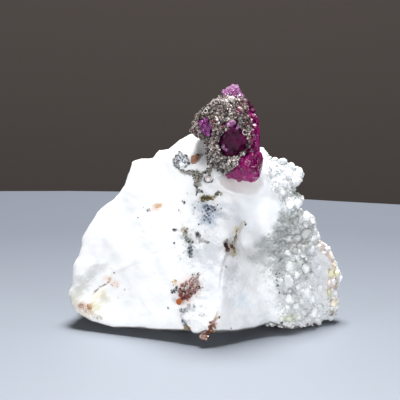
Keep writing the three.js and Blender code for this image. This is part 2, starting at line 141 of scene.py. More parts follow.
def edge_distance(u, v, points, closed=False):
    """Distance in the drawing to a line through the points."""
    pts = np.array(points, float)
    best = np.full(len(u), 1e9)
    n = len(pts)
    for i in range(n if closed else n - 1):
        a, b = pts[i], pts[(i + 1) % n]
        ab = b - a
        t = np.clip(((u - a[0]) * ab[0] + (v - a[1]) * ab[1]) / max(ab @ ab, 1e-9), 0, 1)
        best = np.minimum(best, np.hypot(u - a[0] - t * ab[0], v - a[1] - t * ab[1]))
    return best


def inside(u, v, points):
    """Signed distance in the drawing to a closed outline, positive inside."""
    pts = np.array(points, float)
    odd = np.zeros(len(u), bool)
    n = len(pts)
    for i in range(n):
        a, b = pts[i], pts[(i + 1) % n]
        if a[1] == b[1]:
            continue
        cross = ((a[1] > v) != (b[1] > v)) & (u < (b[0] - a[0]) * (v - a[1]) / (b[1] - a[1]) + a[0])
        odd ^= cross
    d = edge_distance(u, v, points, closed=True)
    return np.where(odd, d, -d)


# ------------------------------------------------------------------ meshes
def ball(freq):
    """Points and triangles of a geodesic sphere."""
    t = (1 + 5**0.5) / 2
    v = unit([[-1, t, 0], [1, t, 0], [-1, -t, 0], [1, -t, 0], [0, -1, t], [0, 1, t],
              [0, -1, -t], [0, 1, -t], [t, 0, -1], [t, 0, 1], [-t, 0, -1], [-t, 0, 1]])
    f = [[0, 11, 5], [0, 5, 1], [0, 1, 7], [0, 7, 10], [0, 10, 11], [1, 5, 9], [5, 11, 4], [11, 10, 2],
         [10, 7, 6], [7, 1, 8], [3, 9, 4], [3, 4, 2], [3, 2, 6], [3, 6, 8], [3, 8, 9], [4, 9, 5],
         [2, 4, 11], [6, 2, 10], [8, 6, 7], [9, 8, 1]]
    points, tris, base = [], [], 0
    for a, b, c in f:
        index = {}
        for i in range(freq + 1):
            for j in range(freq + 1 - i):
                index[i, j] = base + len(index)
                points.append((v[a] * (freq - i - j) + v[b] * i + v[c] * j) / freq)
        for i in range(freq):
            for j in range(freq - i):
                tris.append((index[i, j], index[i + 1, j], index[i, j + 1]))
                if i + j < freq - 1:
                    tris.append((index[i + 1, j], index[i + 1, j + 1], index[i, j + 1]))
        base += len(index)
    points = unit(np.array(points))
    key = np.round(points * 1e6).astype(np.int64)
    _, first, back = np.unique(key, axis=0, return_index=True, return_inverse=True)
    return points[first], back.reshape(-1)[np.array(tris)]


def normals(p, f):
    n = np.cross(p[f[:, 1]] - p[f[:, 0]], p[f[:, 2]] - p[f[:, 0]])
    out = np.zeros_like(p)
    for k in range(3):
        np.add.at(out, f[:, k], n)
    return out / np.maximum(np.linalg.norm(out, axis=1, keepdims=True), 1e-12)


def make(name, p, f, colour=None, flat=False):
    """A mesh object from points in mm of the drawing's frame."""
    mesh = bpy.data.meshes.new(name)
    co = ((p + SHIFT) * 0.001).astype(np.float32)
    mesh.vertices.add(len(co))
    mesh.vertices.foreach_set("co", co.ravel())
    mesh.loops.add(len(f) * 3)
    mesh.loops.foreach_set("vertex_index", f.astype(np.int32).ravel())
    mesh.polygons.add(len(f))
    mesh.polygons.foreach_set("loop_start", np.arange(0, len(f) * 3, 3, dtype=np.int32))
    mesh.polygons.foreach_set("loop_total", np.full(len(f), 3, dtype=np.int32))
    mesh.update(calc_edges=True)
    mesh.polygons.foreach_set("use_smooth", np.full(len(f), not flat))
    if colour is not None:
        layer = mesh.color_attributes.new(name="tint", type="FLOAT_COLOR", domain="POINT")
        rgba = np.ones((len(p), 4), np.float32)
        rgba[:, :3] = colour
        layer.data.foreach_set("color", rgba.ravel())
    mesh.validate()
    o = bpy.data.objects.new(name, mesh)
    bpy.context.scene.collection.objects.link(o)
    return o


def arrays(mesh):
    n = len(mesh.vertices)
    co = np.empty(n * 3, np.float32)
    mesh.vertices.foreach_get("co", co)
    mesh.calc_loop_triangles()
    f = np.empty(len(mesh.loop_triangles) * 3, np.int32)
    mesh.loop_triangles.foreach_get("vertices", f)
    return co.reshape(-1, 3).astype(float), f.reshape(-1, 3)


# ------------------------------------------------------------------ the marble
CORE = RIGHT * (207 - U0) * UNIT + UP * (V0 - 250) * UNIT
OUTLINE = [
    (189.6, 125.9, 0), (199.2, 123.3, 0), (215.4, 128.6, 0), (235.9, 136.6, 0), (256.5, 142.8, 0.5),
    (263.3, 146.3, 1), (268.6, 160.3, 1.5), (279.4, 160.5, 2), (289.2, 160.4, 2), (296.7, 164.6, 2),
    (299.7, 170.4, 2), (306.2, 172.8, 2), (291, 192, 2.5), (293.4, 193.4, 3), (304.3, 196, 2.5),
    (289.1, 212.4, 2), (312.3, 215.4, 1.5), (311.3, 227.1, 1), (317.6, 238.4, 1), (330.7, 249, 1),
    (338.1, 258.4, 1), (340.5, 267, 1), (341.6, 274, 1), (339.1, 282, 1), (337.9, 291.4, 1),
    (338.2, 299.5, 1), (343, 307.5, 2), (344, 315, 3), (338.7, 316.9, 1), (326.1, 318.7, -2),
    (322.5, 325.8, -6), (307.8, 326.9, -9), (293, 329.3, -11), (281.2, 327.3, -11), (271.9, 324, -11),
    (254.8, 329.4, -13), (238, 331.7, -15), (217.1, 332.6, -16), (199.9, 332.7, -16),
    (181.7, 331.6, -15.5), (159.3, 331.1, -14.5), (137.5, 328.6, -13), (113.2, 328.2, -11),
    (94.1, 324.3, -8.5), (78.7, 322.2, -6), (67, 316, -4), (56.7, 308.5, -2.5), (57.4, 300.1, -2),
    (68.2, 286.6, -1.8), (69.6, 276.5, -1.5), (71.6, 266.2, -1.3), (77.2, 257.1, -1.2), (79.6, 247, -1),
    (80.2, 238.2, -1), (82.2, 228, -0.7), (82.6, 218.8, -0.5), (94.1, 210.8, 0), (103.9, 204.3, 0.2),
    (113.5, 199.5, 0.5), (120.2, 192.5, 0.8), (125.3, 185.4, 1), (126.4, 172.6, 1.5),
    (127.7, 165.5, 1.8), (129.7, 158.7, 2), (138.8, 155.5, 1.8), (154.2, 159.6, 1.5), (159.2, 150, 1.2),
    (171.8, 156.5, 1), (178.1, 141, 0.5),
]
LEAN = [
    (-180, 0.35, 0.45), (-145, 0.2, 0.08), (-90, 0.2, 0.0), (-40, 0.2, 0.05), (-24, 0.3, 0.3),
    (0, 0.45, 0.55), (45, 0.5, 0.6), (90, 0.7, 0.5), (140, 0.45, 0.5), (180, 0.35, 0.45),
]
FACES = [
    ((-0.433, -0.86, 0.268), (0, -16, 2), 0.35),
    ((-0.7, -0.69, 0.1), (-22.3, -8.9, 2.4), 0.3),
    ((0.6, -0.8, 0.04), (3, -15.7, 5), 0.3),
    ((0.3, -0.9, 0.3), (19, -8.5, 13), 0.5),
    ((0.88, -0.38, 0.28), (26.6, 0, 11), 0.5),
    ((0.12, -0.66, 0.74), (6, -10, 28.9), 0.4),
    ((0.5, -0.3, 0.81), (18, 1, 34), 0.5),
    ((-0.5, -0.2, 0.84), (-14, 0.5, 33.8), 0.3),
    ((-0.28, 0.9, 0.33), (-6, 18.5, 12), 0.6),
    ((0.42, 0.86, 0.28), (12, 16.5, 12), 0.6),
    ((0.05, 0.62, 0.78), (0, 7, 35.5), 0.5),
    ((-0.8, 0.42, 0.42), (-23.2, 9, 15), 0.5),
    ((0.88, 0.33, 0.3), (25.5, 8, 13), 0.6),
    ((0.1, 0.8, -0.59), (0, 17.8, 6), 0.4),
    ((0.75, 0.3, -0.59), (26, 6, 3.4), 0.3),
    ((-0.6, 0.1, -0.79), (-23, 4, 2.6), 0.3),
]
SWELLS = [
    (seen(262, 232, -8.5), 5.2, -3.6), (seen(276, 238, -8), 4.6, -3.4), (seen(280, 262, -9), 4.4, -2.2),
    (seen(268, 205, -6), 4.5, -2.2), (seen(262, 290, -12), 5.5, -1.4), (seen(305, 262, -6), 5.5, 1.2),
    (seen(300, 305, -8), 5, 0.8), (seen(215, 262, -14), 4.5, 0.8), (seen(228, 222, -11), 3.6, 0.9),
    (seen(150, 250, -10), 9, 0.7), (seen(185, 180, -5), 5, -0.7), (seen(80, 285, -4), 4, -0.6),
    (seen(73, 305, -3), 2.3, 1.4), (seen(66, 291.5, -2), 3.0, -0.9), (seen(86, 321, -7), 2.2, -0.7), (seen(335, 317, -4), 2.2, -1.2),
    (np.array([2, 17, 20.0]), 7, -2.2), (np.array([-13, 14, 9.0]), 6, 1.2), (np.array([17, 12, 20.0]), 6, -0.5),
]
ROUND = 1.3


def warp(p, scale, seed):
    x, y, z = p[:, 0] * scale, p[:, 1] * scale, p[:, 2] * scale
    return (
        np.sin(1.7 * x + 1.3 * y + seed)
        + np.sin(1.1 * y - 1.9 * z + 2.1 * seed)
        + np.sin(1.5 * z + 2.3 * x - 1.4 * seed)
        + 0.6 * np.sin(3.1 * x - 2.7 * z + 0.7 * seed)
        + 0.6 * np.sin(2.9 * y + 3.3 * z + 1.9 * seed)
    ) / 4.2


def rim_points():
    out = []
    for u, v, y in OUTLINE:
        at = y
        d = sight(u, v)
        for _ in range(3):
            for n, q, _w in FACES:
                n = unit(n)
                toward = n @ d
                over = n @ (seen(u, v, at) - np.array(q, float)) + 0.45
                if over > 0 and abs(toward) > 0.25:
                    at -= min(max(over / toward * d[1], -4), 4)
        p = seen(u, v, at) - CORE
        out.append((p @ RIGHT, p @ UP, p @ INTO))
    return np.array(out)


def rim_table(points, steps=7200):
    t = np.arange(steps) * 2 * math.pi / steps
    da, db = np.cos(t), np.sin(t)
    r, c = np.zeros(steps), np.zeros(steps)
    for i in range(len(points)):
        p, q = points[i], points[(i + 1) % len(points)]
        ea, eb = q[0] - p[0], q[1] - p[1]
        det = da * eb - db * ea
        det = np.where(np.abs(det) < 1e-12, 1e-12, det)
        k = (p[0] * eb - p[1] * ea) / det
        s = (p[0] * db - p[1] * da) / det
        hit = (k > 0) & (s >= -1e-9) & (s <= 1 + 1e-9)
        r[hit] = k[hit]
        c[hit] = (p[2] + s * (q[2] - p[2]))[hit]
    return r, c


def look_up(table, turn):
    steps = len(table)
    x = (turn / (2 * math.pi) * steps) % steps
    i = np.floor(x).astype(int) % steps
    k = x - np.floor(x)
    return table[i] * (1 - k) + table[(i + 1) % steps] * k


RIM_R, RIM_C = rim_table(rim_points())


def blurred(table, half):
    wide = np.concatenate([table[-half:], table, table[:half]])
    total = np.cumsum(np.concatenate([[0.0], wide]))
    n = 2 * half + 1
    return (total[n:] - total[:-n]) / n


RIM_RS, RIM_CS = blurred(RIM_R, 545), blurred(RIM_C, 545)


def marble_radius(d):
    da, db, dc = d @ RIGHT, d @ UP, d @ INTO
    flat = np.maximum(np.hypot(da, db), 1e-6)
    turn = np.arctan2(db, da)
    r0, c0 = look_up(RIM_R, turn), look_up(RIM_C, turn)
    behind = smooth(dc / flat, 0.02, 0.24) * smooth(db / flat, -0.45, -0.05)
    far = np.maximum(smooth(np.abs(dc) / flat, 0.06, 0.5) * smooth(db / flat, -0.2, 0.15), behind)
    r0 = r0 + (look_up(RIM_RS, turn) - r0) * far + 0.3
    c0 = c0 + (look_up(RIM_CS, turn) - c0) * far
    deg = np.degrees(turn)
    lx = [a for a, _, _ in LEAN]
    front, back = np.interp(deg, lx, [b for _, b, _ in LEAN]), np.interp(deg, lx, [c for _, _, c in LEAN])
    big = np.full(len(d), 1e3)
    rows = [
        np.where(flat + back * dc > 1e-3, (r0 + back * c0) / np.maximum(flat + back * dc, 1e-3), big),
        np.where(flat - front * dc > 1e-3, (r0 - front * c0) / np.maximum(flat - front * dc, 1e-3), big),
    ]
    for i, (n, q, wavy) in enumerate(FACES):
        n = unit(n)
        seed = 3.7 * i + 1
        k = d @ n
        ok = k > 1e-3
        reach = (n @ (np.array(q, float) - CORE)) / np.where(ok, k, 1.0)
        at = CORE + d * np.minimum(reach, 40)[:, None]
        r = reach + wavy * warp(at, 0.22, seed) + 0.4 * wavy * warp(at, 0.6, seed + 9)
        rows.append(np.where(ok, r, big))
    rows = np.stack(rows)
    least = rows.min(0)
    out = least - np.log(np.exp(-ROUND * np.minimum(rows - least, 200)).sum(0)) / ROUND
    p = CORE + d * out[:, None]
    for c, w, amount in SWELLS:
        out = out + amount * np.exp(-((p - c) ** 2).sum(1) / (w * w))
    return out


FLANK = [
    (258, 147), (263, 158), (267, 171), (276, 192), (280, 211), (275, 228), (266, 240), (268, 252), (275, 262),
    (277, 276), (279, 292), (280, 305), (279, 330), (350, 335), (352, 240), (320, 190), (305, 150), (285, 140),
]
BAND = [(313, 250), (322, 250), (328.5, 262), (327, 285), (328.5, 300), (318, 303), (314, 288), (314, 268)]
SHELF = [(217, 180), (219.5, 185.5), (225, 190.6), (235, 194.6), (245, 196), (255, 195.4), (261, 190), (264, 183), (262, 176), (240, 172), (224, 172)]
BOWL = [(236, 201), (250, 199), (266, 198), (277, 203), (284, 211), (281, 220), (270, 233), (258, 246), (248, 256), (240, 259), (239, 248), (246, 232), (243, 214)]
BULGE = [(226, 262), (245, 256), (268, 262), (277, 280), (281, 300), (280, 330), (232, 334), (226, 312), (222, 285)]
BAY = [(224, 186), (262, 184), (276, 200), (280, 215), (268, 244), (248, 262), (230, 262), (236, 240), (247, 222), (235, 205)]
BLOCK = [
    (180, 316), (186, 311.5), (196, 313), (204, 318), (212, 314), (217.5, 309.5), (215.5, 317), (211, 325),
    (207.5, 331), (203, 334.5), (199.4, 335), (194, 332.5), (189.6, 328), (184.5, 321.5),
]
CRACK = [(109.6, 278), (108.6, 281.4), (106.6, 283.8), (102.9, 285.6), (99.4, 287.2), (96.6, 290), (92.9, 293.8), (87.5, 301.5), (85.5, 308)]
LEDGE = [(112, 268), (128, 264), (145, 259), (163, 253), (178, 250), (192, 247)]
CREASE = [(226.5, 254), (223, 262), (221, 270), (220.3, 279), (219.8, 289), (221.5, 299)]


def marble(freq):
    d, f = ball(freq)
    d = unit(d + np.array([0.1, -0.42, 0.0]))  # finer at the front
    p = CORE + d * marble_radius(d)[:, None]
    n = normals(p, f)
    u, v = drawn(p)
    face = -(n * unit(p - EYE)).sum(1)
    front = smooth(face, 0.0, 0.25)
    flank = smooth(inside(u, v, FLANK), -1.5, 3) * smooth(face, -0.15, 0.1)
    flank = np.maximum(flank, smooth(p[:, 0], 17, 22) * smooth(p[:, 1], 8, 2) * smooth(-face, -0.1, 0.1))
    flank = flank * (1 - 0.72 * smooth(inside(u, v, BAND) + 1.5 * noise(p, 0.7, 66), -3.5, 3.5) * front)
    flank = flank * (1 - 0.5 * smooth(v, 178, 165) * smooth(u, 296, 288) * front)
    bulge = smooth(inside(u, v, BULGE), -1, 4) * front
    bay = smooth(inside(u, v, BAY), -1, 4) * front
    back = smooth(-face, -0.05, 0.2)
    plain = 1 - np.clip(flank + bulge + bay, 0, 1)

    h = 0.22 * fbm(p, 0.16, 3, 3) * (1 - 0.5 * bay)
    # broken faces: little tilted planes, larger on the hidden sides
    for size, amount, seed in ((4.2, 0.55, 11), (1.9, 0.25, 12)):
        one, two, label, way = cells(p + 0.5 * np.stack([noise(p, 0.4, s) for s in (5, 6, 7)], 1), size, seed)
        tilt = np.stack([np.cos(40 * label), np.sin(70 * label), np.cos(90 * label + 1)], 1)
        k = (way * tilt).sum(1) / size * smooth((two - one) / size, 0.0, 0.28)
        h += amount * k * (back * 1.0 + (1 - back) * plain * 0.12)
    h += 0.05 * fbm(p, 1.6, 21, 3) * (0.4 * plain + 0.9 * bulge + 0.6 * back)
    # the left face
    s = edge_distance(u, v, LEDGE)
    side = inside(u, v, LEDGE + [(192, 330), (112, 330)])
    h += front * 0.07 * smooth(s, 14, 0) * np.where(side > 0, 1, -1) * smooth(s, 0, 2.4)
    c = edge_distance(u, v, CRACK)
    corner = inside(u, v, CRACK + [(80, 325), (40, 330), (40, 240), (100, 262)])
    h -= front * 0.4 * smooth(c + 0.5 * noise(p, 1.2, 62), 1.1, 0.2) * smooth(v, 297, 293)
    h -= front * 0.26 * smooth(corner, 0, 1.5) * smooth(c, 9, 1) * smooth(v, 279, 287)
    h += front * 0.22 * smooth(-corner, 0, 2) * smooth(c, 9, 2) * smooth(v, 279, 287)
    # the white block at the foot and the crease beside the spur
    b = inside(u, v, BLOCK)
    b = b + 0.7 * noise(p, 0.9, 63)
    h += front * (0.5 * smooth(b, -0.8, 1.4) - 0.25 * smooth(np.abs(b + 0.9), 1.3, 0) * smooth(v, 314, 322))
    h += front * 0.16 * smooth(inside(u, v, SHELF) + 0.8 * noise(p, 0.8, 64), -0.5, 1.6)
    _, _, label, way = cells(p, 1.5, 31)
    h += front * 0.25 * smooth(b, 0, 1) * (way[:, 0] * np.cos(30 * label) + way[:, 2] * np.sin(50 * label))
    c = edge_distance(u, v, CREASE)
    wobble = 1.6 * noise(p, 0.35, 61)
    h -= front * 0.14 * smooth(c, 2.6, 0.2) * smooth(v, 258, 268) * smooth(v, 300, 284)
    h -= front * 0.22 * smooth(u + wobble, 219.5, 228.5) * smooth(u, 250, 229) * smooth(v, 250, 272) * smooth(v, 325, 290)
    # rounded calcite over the flank
    # hollow marks the gaps between the domes, where the marble is later painted with shade
    hollow = np.zeros(len(p))
    bent = p + 0.3 * np.stack([noise(p, 1.3, k) for k in (44, 45, 46)], 1)
    for size, amount, seed in ((2.6, 0.42, 41), (1.3, 0.5, 42), (0.75, 0.6, 43), (0.46, 0.55, 47)):
        one, two, label, _ = cells(bent, size, seed, 0.95)
        dome = np.sqrt(np.clip(1 - (one / (0.66 * size)) ** 2, 0, 1)) * 0.62 * size
        h += flank * amount * dome * (0.25 + 0.75 * label)
        hollow += flank * (0.55 - dome / (0.62 * size)) * 0.3
    h -= flank * 0.35
    one, _, label, _ = cells(bent, 0.8, 51)
    h += bulge * 0.05 * np.sqrt(np.clip(1 - (one / 0.5) ** 2, 0, 1)) * label
    one, _, label, _ = cells(bent, 0.45, 52)
    h += (bulge * 0.5 + bay * 0.12) * 0.09 * np.sqrt(np.clip(1 - (one / 0.3) ** 2, 0, 1)) * label
    out = p + (0.35 * d + 0.65 * n) * h[:, None]
    out[:, 2] = np.maximum(out[:, 2], 0.0)
    return out, f, n, face, hollow


rock, rock_f, rock_n, rock_face, rock_gap_shade = marble(98)
rock_tree = BVHTree.FromPolygons([tuple(q) for q in rock], [tuple(int(i) for i in t) for t in rock_f])


def on(tree, u, v, into=(232, 235)):
    """The surface under a point of the drawing."""
    for k in range(16):
        a, b = u + (into[0] - u) * 0.012 * k, v + (into[1] - v) * 0.012 * k
        at, n, _, _ = tree.ray_cast(Vector(EYE), Vector(sight(a, b)))
        if at is not None:
            return np.array(at), np.array(n)
    return None, None


def on_rock(u, v):
    return on(rock_tree, u, v)


# Stains, and painted shade, on the marble: drawing x, y, half sizes, turn in degrees, colour, strength, raggedness. The
# coloured rows are stains; most grey rows are painted shade, over the flank and its valley, the bulge, the middle face,
# the side of the spur, the lower left facet and the ledge of the left face.
WHITE = np.array([0.86, 0.865, 0.87])
STAINS_AND_SHADE = [
    (158, 206, 6, 3.6, -15, (0.78, 0.5, 0.28), 0.7, 0.8), (158.5, 205.4, 2.8, 2, -15, (0.56, 0.27, 0.11), 0.6, 0.6),
    (155, 211, 6, 3.5, 0, (0.9, 0.62, 0.55), 0.35, 0.8), (148, 210, 2.2, 1.6, 0, (0.4, 0.38, 0.36), 0.5, 0.8),
    (208, 212, 11, 11, 0, (0.34, 0.4, 0.51), 0.72, 0.9), (211, 222, 8, 7, 0, (0.42, 0.48, 0.57), 0.6, 1.0), (227, 206, 10, 3.5, 25, (0.55, 0.6, 0.67), 0.5, 1.1),
    (200, 207, 6, 8, 0, (0.5, 0.56, 0.64), 0.45, 1.1), (238, 220, 7, 4, 30, (0.56, 0.6, 0.66), 0.45, 1.1), (226, 216, 5, 3, 40, (0.6, 0.64, 0.7), 0.4, 1.1),
    (190, 236, 14, 8, 20, (0.55, 0.56, 0.54), 0.5, 1.1), (190, 250, 7, 10, 0, (0.5, 0.53, 0.56), 0.55, 1.0),
    (204, 241, 9, 5, 10, (0.6, 0.6, 0.58), 0.45, 1.1), (185, 230.7, 4.5, 4, 0, (0.55, 0.47, 0.3), 0.55, 0.6),
    (107.5, 278.8, 5.4, 4, -20, (0.83, 0.64, 0.52), 0.7, 0.9), (114.6, 283.2, 6.4, 5, 0, (0.84, 0.72, 0.62), 0.6, 1.0),
    (78.5, 309.5, 6, 4, 38, (0.54, 0.42, 0.35), 0.8, 0.8), (75.5, 304.5, 5, 4.4, 30, (0.56, 0.48, 0.42), 0.7, 0.9), (84, 315, 6.5, 3, 35, (0.68, 0.6, 0.5), 0.65, 0.9), (71.5, 300, 3.4, 6, 0, (0.55, 0.57, 0.49), 0.65, 0.8),
    (98, 295.5, 11, 3.4, -38, (0.9, 0.8, 0.6), 0.8, 0.5), (102.8, 298.7, 6.2, 5.6, 0, (0.6, 0.57, 0.44), 0.8, 0.9),
    (78, 300, 10, 5, 30, (0.6, 0.58, 0.5), 0.6, 0.8), (96, 303.5, 8, 5, 20, (0.72, 0.7, 0.52), 0.5, 1.0), (97, 316, 6, 3.4, 25, (0.62, 0.62, 0.5), 0.6, 1.0),
    (81, 305, 6.4, 4.4, 35, (0.5, 0.33, 0.26), 0.8, 0.8), (88.5, 308.5, 5.2, 5.6, 20, (0.52, 0.31, 0.16), 0.85, 0.8),
    (96, 307.5, 4.6, 4.4, 30, (0.68, 0.66, 0.46), 0.7, 0.9), (87, 313.4, 3.4, 2.4, 35, (0.85, 0.76, 0.62), 0.7, 0.8),
    (91.5, 313.5, 4, 2.2, 35, (0.5, 0.34, 0.22), 0.6, 0.8),
    (74, 302, 5, 4, 50, (0.62, 0.6, 0.54), 0.5, 0.8), (92, 279, 14, 5, -42, (0.72, 0.73, 0.74), 0.5, 1.0),
    # painted shade along the ledge of the left face
    (101, 268, 9, 3.5, -40, (0.74, 0.75, 0.76), 0.4, 1.0), (135, 262, 26, 3, -15, (0.76, 0.77, 0.78), 0.45, 1.0),
    (125, 213, 9, 4, -30, (0.8, 0.81, 0.82), 0.35, 1.0), (124.5, 289.5, 2.5, 2, 0, (0.7, 0.7, 0.7), 0.5, 0.9),
    (228, 243, 5.5, 6, 0, (0.45, 0.38, 0.34), 0.45, 0.9), (233, 252, 3, 4, 0, (0.66, 0.56, 0.36), 0.65, 0.6),
    (235.6, 230.6, 3.4, 5.0, 15, (0.84, 0.7, 0.52), 0.8, 0.8), (233.8, 253.8, 2.4, 3.2, 0, (0.6, 0.46, 0.2), 0.7, 0.7), (235.6, 240, 1.8, 5, 18, (0.4, 0.31, 0.2), 0.7, 0.7),
    (174.8, 282.3, 3, 2, 30, (0.78, 0.66, 0.42), 0.8, 0.6), (188, 288, 13, 16, 35, (0.75, 0.5, 0.42), 0.35, 0.9),
    (205, 287, 7, 6, 0, (0.6, 0.6, 0.62), 0.35, 1.0), (185, 303, 8, 5, 0, (0.85, 0.62, 0.5), 0.4, 0.8),
    (183, 312, 6, 3, 20, (0.5, 0.52, 0.55), 0.5, 1.0), (191, 307, 6, 3.5, 0, (0.6, 0.61, 0.62), 0.45, 1.0),
    (186, 324, 3.5, 6, -35, (0.45, 0.44, 0.46), 0.6, 0.8), (187, 328, 4, 3, 0, (0.6, 0.46, 0.33), 0.7, 0.6),
    (213, 324, 5, 8, 35, (0.72, 0.5, 0.42), 0.6, 0.8), (217.5, 316, 4, 5, 30, (0.8, 0.68, 0.55), 0.45, 0.8),
    # painted shade: the side of the spur turned from the light, the valley, the darker parts of the right flank and the
    # upper ledge of the flank
    (222, 272, 4, 12, 0, (0.7, 0.71, 0.72), 0.5, 0.9), (228, 282, 9, 14, 0, (0.74, 0.74, 0.76), 0.4, 1.0),
    (266, 246, 21, 9, 45, (0.34, 0.36, 0.355), 0.8, 0.6), (262, 258, 14, 10, 20, (0.42, 0.44, 0.44), 0.7, 0.8),
    (281, 236, 13, 20, 0, (0.27, 0.29, 0.285), 0.85, 0.8), (287, 218, 9, 14, 10, (0.31, 0.335, 0.325), 0.75, 0.9),
    (279, 268, 12, 16, 0, (0.34, 0.36, 0.36), 0.75, 0.9), (286, 290, 14, 18, 0, (0.44, 0.46, 0.47), 0.6, 1.0),
    (300, 240, 17, 24, 0, (0.33, 0.34, 0.33), 0.78, 0.9), (296, 192, 7, 8, 0, (0.34, 0.37, 0.35), 0.75, 0.8),
    (303, 268, 12, 12, 0, (0.52, 0.53, 0.52), 0.6, 0.9), (308, 222, 9, 12, 0, (0.6, 0.61, 0.6), 0.55, 0.9), (286, 167, 18, 11, 10, (0.58, 0.61, 0.62), 0.7, 1.0),
    (298, 306, 20, 12, 0, (0.62, 0.64, 0.64), 0.5, 0.9), (278, 188, 11, 18, 0, (0.6, 0.63, 0.64), 0.55, 0.9),
    # painted shade beside the spur, over the bulge and over the middle face
    (230, 272, 9, 14, 0, (0.58, 0.59, 0.61), 0.6, 0.9), (228, 305, 9, 18, 0, (0.72, 0.735, 0.76), 0.35, 0.9),
    (262, 288, 14, 18, 0, (0.74, 0.755, 0.78), 0.3, 0.9), (265, 318, 18, 7, 0, (0.7, 0.72, 0.75), 0.35, 0.9),
    (205, 259, 14, 12, 0, (0.66, 0.68, 0.72), 0.45, 1.0), (212, 240, 8, 12, 0, (0.66, 0.68, 0.71), 0.45, 1.0),
    (200, 254, 18, 10, 0, (0.56, 0.58, 0.61), 0.5, 1.3), (214, 252, 8, 14, 0, (0.56, 0.58, 0.62), 0.5, 1.2), (203, 196, 12, 9, 0, (0.62, 0.64, 0.66), 0.4, 1.3), (214, 280, 7, 20, 0, (0.66, 0.68, 0.72), 0.4, 1.0),
    (233, 246, 9, 11, 0, (0.4, 0.36, 0.32), 0.6, 0.8), (240, 229, 3.5, 8, 25, (0.5, 0.4, 0.28), 0.6, 0.8),
    # painted shade on the lower left facet, which turns down and away from the light
    (84, 284, 8, 18, 28, (0.5, 0.5, 0.47), 0.75, 1.0), (93, 272, 5, 12, 35, (0.52, 0.53, 0.53), 0.6, 1.0), (74, 297, 4, 9, 5, (0.58, 0.58, 0.52), 0.6, 0.9), (95, 272, 16, 5, -30, (0.62, 0.63, 0.65), 0.45, 1.1),
    # painted shade along the ledge of the left face
    (135, 263, 22, 2.5, -28, (0.62, 0.62, 0.62), 0.45, 0.9), (165, 250, 14, 2.5, -12, (0.66, 0.66, 0.66), 0.4, 0.9),
    (150, 190, 7, 6, 0, (0.74, 0.74, 0.74), 0.3, 1.0), (190, 150, 9, 9, 0, (0.72, 0.72, 0.72), 0.35, 1.0),
    (300, 212, 5, 5, 0, (0.45, 0.47, 0.45), 0.6, 1.0), (306, 241, 4, 4, 0, (0.5, 0.52, 0.48), 0.5, 1.0),
    (294, 263, 8, 7, 0, (0.68, 0.72, 0.68), 0.5, 0.9), (270, 196, 7, 16, -18, (0.72, 0.74, 0.75), 0.4, 1.0),
    (252, 205, 12, 7, -15, (0.76, 0.77, 0.8), 0.3, 1.0), (243, 301, 12, 9, 0, (0.7, 0.78, 0.86), 0.55, 0.9), (240, 304, 6, 5, 0, (0.86, 0.89, 0.92), 0.4, 0.9),
    # painted shade over the bulge
    (258, 310, 16, 12, 0, (0.76, 0.79, 0.82), 0.35, 1.0), (245, 285, 12, 10, 0, (0.72, 0.73, 0.75), 0.35, 1.0),
    (290, 318, 7, 5, 0, (0.6, 0.62, 0.44), 0.7, 0.8), (283, 318, 4, 4, 0, (0.82, 0.8, 0.6), 0.6, 0.6),
    (320, 277, 8, 20, 0, (0.74, 0.74, 0.74), 0.4, 1.0), (322.5, 248, 4.5, 8, -25, (0.54, 0.4, 0.32), 0.75, 1.0),
    (331, 256, 4.4, 7, -20, (0.74, 0.58, 0.5), 0.8, 1.0), (334, 266, 3.8, 4.5, 0, (0.76, 0.6, 0.44), 0.75, 0.9),
    (333.6, 273.5, 7, 4.4, 0, (0.8, 0.74, 0.46), 0.8, 0.8), (332, 284, 5, 7, 0, (0.76, 0.56, 0.48), 0.8, 0.8),
    (330, 293, 4, 5, 0, (0.6, 0.54, 0.32), 0.75, 0.8), (334, 303, 5, 6, 0, (0.86, 0.74, 0.54), 0.7, 0.8),
    (334, 312, 5, 3, 0, (0.4, 0.34, 0.24), 0.7, 0.8), (336, 284, 2, 9, 0, (0.45, 0.34, 0.26), 0.6, 0.8),
    (266, 190, 6, 10, 0, (0.74, 0.76, 0.78), 0.4, 1.0),
]


